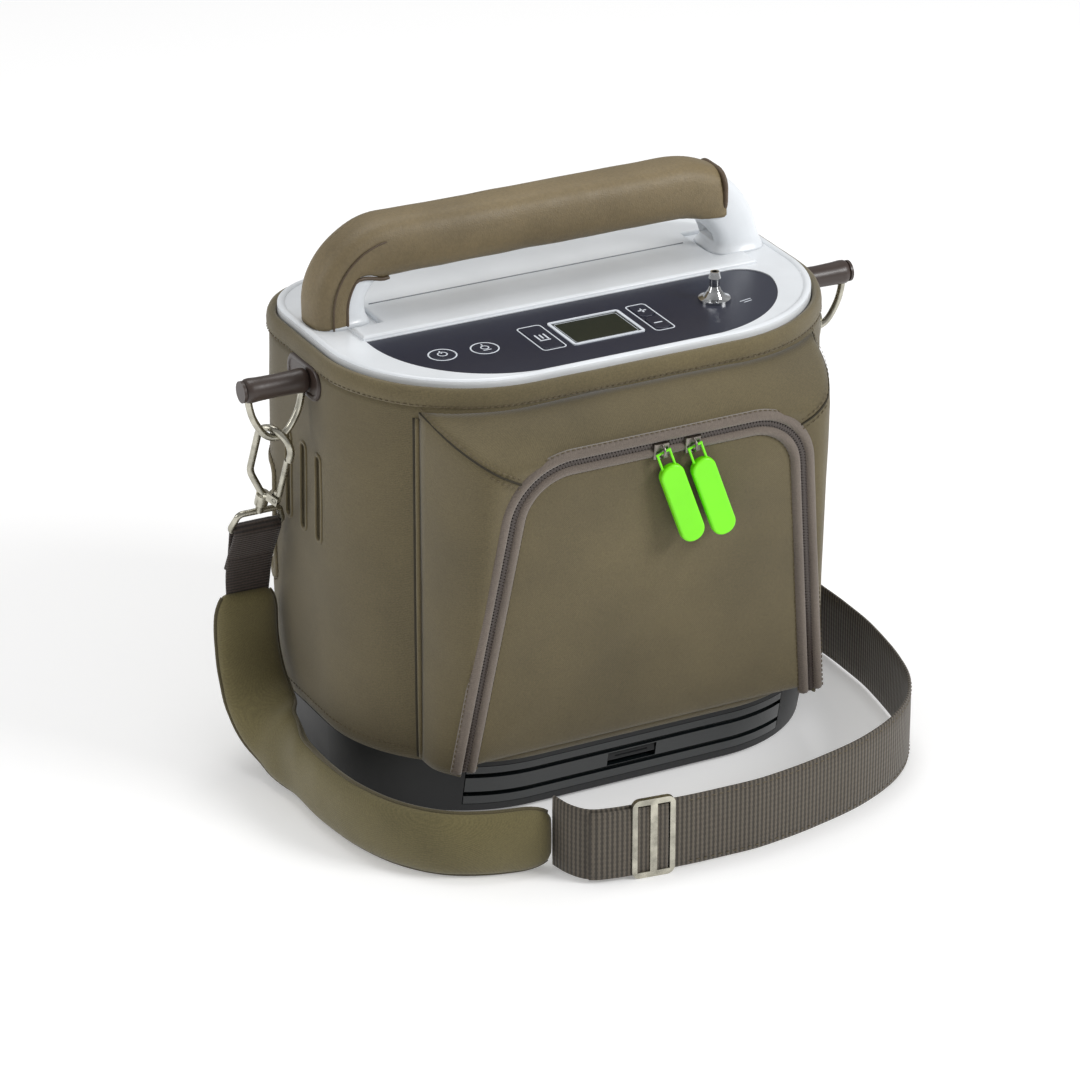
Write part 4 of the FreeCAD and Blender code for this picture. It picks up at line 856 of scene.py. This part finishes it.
def make_handle():
    grip_end = 100.0
    rings, line = [], handle_line()
    for middle, out in line:
        if middle.x > 90 and middle.z < 253:
            break
        half_in = GRIP_IN
        if middle.x < 0:
            half_in = web_side(middle.z)
        ring = oval(middle, out, GRIP_OUT, half_in, GRIP_DEEP)
        moved = []
        for p in ring:
            crease = 0.0
            if middle.z < 266:
                crease = 0.35 * math.sin(p.x * 0.5 + p.z * 0.9) * max(0.0, -(p - middle).dot(out) / 15)
            wave = 0.35 * soft_noise(p, 18, 1) + crease
            p = p + (p - middle).normalized() * wave
            moved.append(Vector((min(p.x, grip_end), p.y, max(p.z, 252.2 if p.x > 80 else FOOT_Z + 0.1))))
        rings.append(moved)
    wrap = sweep("grip_wrap", rings, M_GRIP, "case", False, ["handle_grip"])
    loop = [Vector((grip_end - 0.6, HANDLE_Y + p.x, 263.8 + p.y)) for p in flat_loop((0, 0), 13.6, 11.2, 8)]
    tube("grip_roll", loop, 1.4, M_PIPING, "case", 10, True, up=Vector((1, 0, 0)))
    seam = [m - out * (-14.4) + Vector((0, 4.0, 0)) for m, out in line if not (m.x > 88 and m.z < 262)]
    normals = [out for m, out in line if not (m.x > 88 and m.z < 262)]
    stitches("grip_stitch", seam, normals, "case", pitch=3.6, length=2.4)
    for side in (-1, 1):
        label = "f" if side < 0 else "b"
        bent = [(m, out) for m, out in line if m.x < -80 and m.z < 266.9]
        edge = []
        for m, out in bent:
            reach = web_side(m.z)
            aside = side * 13.2 * (1 - 0.25 * (reach / GRIP_IN) ** 2)
            edge.append(m - out * (reach * 0.93) + Vector((0, aside, 0)))
        tube(f"grip_piping_{label}", edge, 1.0, M_PIPING, "case", 8, up=Vector((0, 1, 0)))
        seam_line = [m + out * 6.5 + Vector((0, side * 14.1, 0)) for m, out in bent]
        tube(f"grip_seam_{label}", seam_line, 0.45, M_PIPING, "case", 8, up=Vector((0, 1, 0)))
    post, white = [], []
    for middle, out in line:
        if middle.x > 80 and middle.z < 262:
            flare = 1.0 + 0.22 * max(0.0, (240 - middle.z) / 8) ** 2
            post.append(oval(middle, out, 13.0 * flare, 12.5 * flare, 13.0 * flare, 28, 0.6))
    post_piece = sweep("handle_post", post, M_WHITE, None)
    cut_loop = [Vector((88, HANDLE_Y + 7.5 * math.cos(a),
                        238 + 9 * max(0.0, math.sin(a)))) for a in (math.pi * k / 12 for k in range(13))]
    boolean(post_piece, prism_cutter(cut_loop, Vector((12.5, 0, 0))))
    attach(post_piece, "case")
    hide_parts("handle_frame")
    for middle, out in line:
        if middle.x < -84 and middle.z < 266.6:
            flare = 1.0 + 0.2 * max(0.0, (238 - middle.z) / 6) ** 2
            white.append(oval(middle, out, 12.0, 13.6 * flare, 12.4 * flare, 28, 0.6))
    sweep("handle_web", white, M_WHITE, "case")


# ---- strap
WEB_LINE = [
    (-72.5, -135.4, 20, 0), (-70, -147, 20, 0), (-64, -156, 20, 0), (-52, -159.8, 20, 0),
    (-34, -162, 20, 0), (-16, -164.2, 20, 0), (4, -165.4, 20, 0), (28, -165, 20, 0),
    (57, -160, 20, 0), (92, -150, 20, 0), (120, -134, 20, 0), (141, -110, 20, 0),
    (151, -82, 20, 0), (156, -50, 20, 0), (158, -18, 20, 0), (157, 12, 20, 0),
    (154.5, 36, 25, 0.2), (152, 50, 42, 0.55), (150, 53, 64, 0.9), (150, 48, 88, 1),
    (150, 41.5, 104, 1)]
PAD_LINE = [
    (-151, 43.8, 88, 1), (-151.5, 43.8, 64, 1), (-152, 37, 45, 0.9), (-152, 24, 31, 0.6),
    (-152, 4, 22, 0.25), (-151, -22, 18, 0), (-150.5, -48, 17.5, 0), (-147, -74, 17.5, 0),
    (-138, -99, 17.5, 0), (-123, -118, 17.5, 0), (-102, -129, 17.5, 0), (-74, -135, 17.5, 0)]


def strap_frames(line, step):
    """Samples along a strap: point, width direction, face direction and length so far."""
    points = smooth_path([(x, y, z) for x, y, z, _ in line], step)
    levels = []
    spans = [max(1, round((Vector(b[:3]) - Vector(a[:3])).length / step)) for a, b in zip(line, line[1:])]
    for cuts, a, b in zip(spans, line, line[1:]):
        levels += [a[3] + (b[3] - a[3]) * (3 * (j / cuts) ** 2 - 2 * (j / cuts) ** 3) for j in range(cuts)]
    levels.append(line[-1][3])
    result, length = [], 0.0
    for i, point in enumerate(points):
        along = (points[min(i + 1, len(points) - 1)] - points[max(i - 1, 0)]).normalized()
        angle = levels[i] * math.pi / 2
        lean = Vector((math.sin(angle), 0, math.cos(angle)))
        width = (lean - along * lean.dot(along)).normalized()
        if i:
            length += (point - points[i - 1]).length
        result.append((point, width, along.cross(width).normalized(), length))
    return result


def ribbon(name, samples, wide, thick, material, body="strap", replaces=()):
    """Flat woven strip; wide is a function of the length so far."""
    rings, lengths = [], []
    for point, width, face, length in samples:
        w, t = wide(length) / 2, thick / 2
        rings.append([point + width * w * a + face * t * b for a, b in
                      ((-1, 0), (-0.97, 0.8), (-0.6, 1), (0, 1.05), (0.6, 1), (0.97, 0.8),
                       (1, 0), (0.97, -0.8), (0.6, -1), (0, -1.05), (-0.6, -1), (-0.97, -0.8))])
        lengths.append(length)
    return sweep(name, rings, material, body, False, replaces, lengths)


WEB_WIDE = 38
TAPER_START = 110  # distance from the strap's end
PLAIN_END = 40  # samples at the end without stitches


def make_webbing():
    samples = strap_frames(WEB_LINE, 2.5)
    total = samples[-1][3]
    eased = [(p + f * 0.6 * soft_noise(p, 30, 2) * min(1.0, l / 30), w, f, l) for p, w, f, l in samples]

    def wide(length):
        """Full width, then a taper towards the swivel eye."""
        past = length - (total - TAPER_START)
        return WEB_WIDE if past < 0 else WEB_WIDE - 12 * min(1.0, past / 90)

    main = ribbon("strap_band", eased, wide, 1.9, M_WEB, replaces=["strap_webbing"])
    lap = [(p - f * 2.3 if f.y > 0 else p + f * 2.3, w, f, l) for p, w, f, l in eased if 22 < l < 62]
    ribbon("strap_lap", lap, lambda l: 36.5, 1.8, M_WEB)
    for edge in (-1, 1):
        points = [p + w * edge * 16.5 - f * 1.0 * (1 if f.y > 0 else -1) for p, w, f, l in eased if l > 70]
        normals = [(-f if f.y > 0 else f) for p, w, f, l in eased if l > 70]
        row = f"strap_stitch_{'a' if edge < 0 else 'b'}"
        stitches(row, points[:-PLAIN_END], normals, "strap", pitch=4.0, radius=0.22)


def make_tabs():
    """Dark strap ends folded through the swivel eyes."""
    lean = math.radians(25)
    axis, back = Vector((0, -math.sin(lean), math.cos(lean))), Vector((0, math.cos(lean), math.sin(lean)))
    bar = Vector((-150, 25.33, 142.41)) - axis * 17
    for side in (-1, 1):
        inner = [Vector((-150, 44.6, 84)), Vector((-150, 42.6, 99)), Vector((-150, 38.6, 112))]
        wrap = [bar + back * 2.8 * math.cos(a) + axis * 2.8 * math.sin(a) for a in
                (math.pi * k / 8 for k in range(9))]
        outer = [bar - back * 2.2 - axis * 8, bar - back * 1.2 - axis * 18, bar - back * 0.6 - axis * 27]
        path = smooth_path(inner + wrap + outer, 2.0)
        samples, length = [], 0.0
        for i, p in enumerate(path):
            along = (path[min(i + 1, len(path) - 1)] - path[max(i - 1, 0)]).normalized()
            if i:
                length += (p - path[i - 1]).length
            width = Vector((1, 0, 0))
            q = Vector((p.x if side < 0 else -p.x, p.y, p.z))
            samples.append((q, width, along.cross(width).normalized(), length))
        name = f"tab_{tag(side)}"
        tab = ribbon(name, samples, lambda l: 25.5 - 3 * math.exp(-l / 12), 1.9, M_TAB)


def make_pad():
    samples = strap_frames(PAD_LINE, 3.0)
    total = samples[-1][3]
    rings, edges = [], ([], [])
    for point, width, face, length in samples:
        end = min(length, total - length)
        taper = min(1.0, math.sqrt(max(0.0, 1 - (1 - min(end / 16, 1.0)) ** 2)) * 0.72 + 0.28)
        slim = 0.6 + 0.4 * math.sqrt(1 - (1 - min(end / 16, 1.0)) ** 2)
        ring = []
        for k in range(28):
            a = 2 * math.pi * k / 28
            c, s = math.cos(a), math.sin(a)
            u = math.copysign(abs(c) ** 0.9, c) * 16.4 * slim
            h = math.copysign(abs(s) ** 0.9, s) * 6.5 * taper
            p = point + width * u + face * h
            wave = 0.45 * soft_noise(p, 22, 9) + 0.2 * soft_noise(p, 8, 4)
            ring.append(p + face * wave * (1 if s > 0 else 0.4))
        rings.append(ring)
        for edge, way in zip(edges, (-1, 1)):
            edge.append(point + width * way * 16.5 * slim)
    pad = sweep("pad_body", rings, M_PAD, "strap", False, ["shoulder_pad"])
    for label, edge in zip("ab", edges):
        tube(f"pad_piping_{label}", edge[1:-1], 1.0, M_PAD_EDGE, "strap", 8, up=Vector((0.3, 0.2, 1)))


# ---- hardware details
RING_X, RING_Y, RING_Z = 150.0, 5, 213


def make_rings():
    """D-rings: a nickel bow under a brown bar that turns on the post."""
    for side in (-1, 1):
        label = tag(side)
        middle = side * RING_X
        bow = smooth_path([(middle - 13.6, 5, 213), (middle - 14.0, 5, 207), (middle - 11.6, 5, 197.5),
                           (middle - 6, 5, 188.6), (middle, 5, 186.0), (middle + 6, 5, 188.6),
                           (middle + 11.6, 5, 197.5), (middle + 14.0, 5, 207), (middle + 13.6, 5, 213)], 1.5)
        wire = tube(f"ring_bow_{label}", bow, 1.8, M_NICKEL, "strap", 12,
                    replaces=["strap_rings"], up=Vector((0, 1, 0)))
        rings = []
        half = ((16.9, 0.6), (16.8, 3.6), (16.2, 5.2), (15.0, 6.0), (13, 6.2), (9, 5.9))
        for reach, radius in [(-x, r) for x, r in half] + [(0, 5.7)] + list(half[::-1]):
            turns = (2 * math.pi * k / 24 for k in range(24))
            rings.append([Vector((middle + reach, RING_Y + radius * 0.96 * math.cos(a),
                                  RING_Z + radius * math.sin(a))) for a in turns])
        sweep(f"ring_bar_{label}", rings, M_BROWN, "strap")


def make_grommets():
    """Oval surrounds where the strap posts leave the case."""
    for side in (-1, 1):
        s0 = side * (SIDE_START + 9 + HALF_DEEP - FRONT_R)
        loop = rounded_loop(s0 - 16.4, s0 + 16.4, 205.6, 219.8, 7.0, 2)
        surface_band(f"post_surround_{tag(side)}", loop, 1.8, 1.4, M_BROWN, lift=0.2)


def dress_frame():
    """Materials for the CAD nodes that stay visible."""
    table = {
        M_BLACK: ("base_tray", "battery_pack", "dc_inlet", "contact_block", "chassis", "fan_housing",
                  "fan_rotor", "battery_latch", "compressor_motor"),
        M_GLOSS: ("battery_fascia",),
        M_RUBBER: ("rubber_feet", "compressor_mounts", "key_mat", "air_hoses"),
        M_WHITE: ("top_housing", "front_housing", "rear_housing"),
        M_NAVY: ("control_panel", "power_key", "alarm_key", "mode_key", "plus_key", "minus_key"),
        M_MARK: ("display_bezel",),
        M_LCD: ("display_window", "lcd_module"),
        M_CHROME: ("outlet_barb",),
        M_BROWN: ("strap_posts",),
        M_NICKEL: ("strap_rings", "hook_left", "hook_right", "gate_left", "gate_right", "strap_metal"),
        M_ZINC: ("slider_left", "slider_right"),
        M_LIME: ("pull_left", "pull_right"),
        M_BRASS: ("battery_contacts",),
        M_SILVER: ("compressor_block", "cylinder_heads", "crank_shaft", "piston_left", "piston_right",
                   "sieve_beds", "product_tank", "valve_manifold", "solenoid_valves", "deck_fasteners"),
        M_BOARD: ("main_board", "display_board"),
        M_FOAM: ("intake_filter",),
    }
    for material, names in table.items():
        for name in names:
            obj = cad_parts[name]
            obj.data.materials.clear()
            obj.data.materials.append(material)


make_case()
make_rim()
make_pocket()
make_flap()
make_zip()
make_deck_lip()
make_panel_marks()
make_handle()
make_webbing()
make_tabs()
make_pad()
make_rings()
make_grommets()
dress_frame()


# ---- studio
# Place in metres, size in metres and power in watts: key, rim and top light.
SOFTBOXES = (((1.5, -1.7, 1.5), 0.9, 38), ((-1.9, 0.5, 0.9), 0.8, 8), ((0.1, 0.5, 2.2), 1.2, 16))


def make_studio():
    bpy.ops.mesh.primitive_plane_add(size=12, location=(0, 0, 0))
    floor = bpy.context.object
    floor.name = "floor"
    paper = Shade("studio_floor", (0.92, 0.92, 0.92), 0.9)
    paper.shader.inputs["Emission Color"].default_value = (1, 1, 1, 1)
    paper.shader.inputs["Emission Strength"].default_value = 0.22
    floor.data.materials.append(paper.material)
    for place, size, power in SOFTBOXES:
        lamp = bpy.data.lights.new("softbox", "AREA")
        lamp.energy, lamp.size = power, size
        holder = bpy.data.objects.new("softbox", lamp)
        bpy.context.scene.collection.objects.link(holder)
        holder.location = place
        holder.rotation_euler = (Vector((0, 0, 0.12)) - Vector(place)).to_track_quat("-Z", "Y").to_euler()
    world = bpy.data.worlds.new("studio")
    bpy.context.scene.world = world
    world.use_nodes = True
    world.node_tree.nodes["Background"].inputs[0].default_value = (1, 1, 1, 1)
    world.node_tree.nodes["Background"].inputs[1].default_value = 0.40
    bpy.context.scene.view_settings.view_transform = "Standard"
    camera = bpy.data.objects.new("camera", bpy.data.cameras.new("camera"))
    bpy.context.scene.collection.objects.link(camera)
    camera.data.lens, camera.data.sensor_width = 166.3, 36
    camera.location = (-1.0422, -1.9975, 1.1626)
    target = Vector((-0.0099, 0, 0.1032))
    camera.rotation_euler = (target - camera.location).to_track_quat("-Z", "Y").to_euler()
    bpy.context.scene.camera = camera


make_studio()
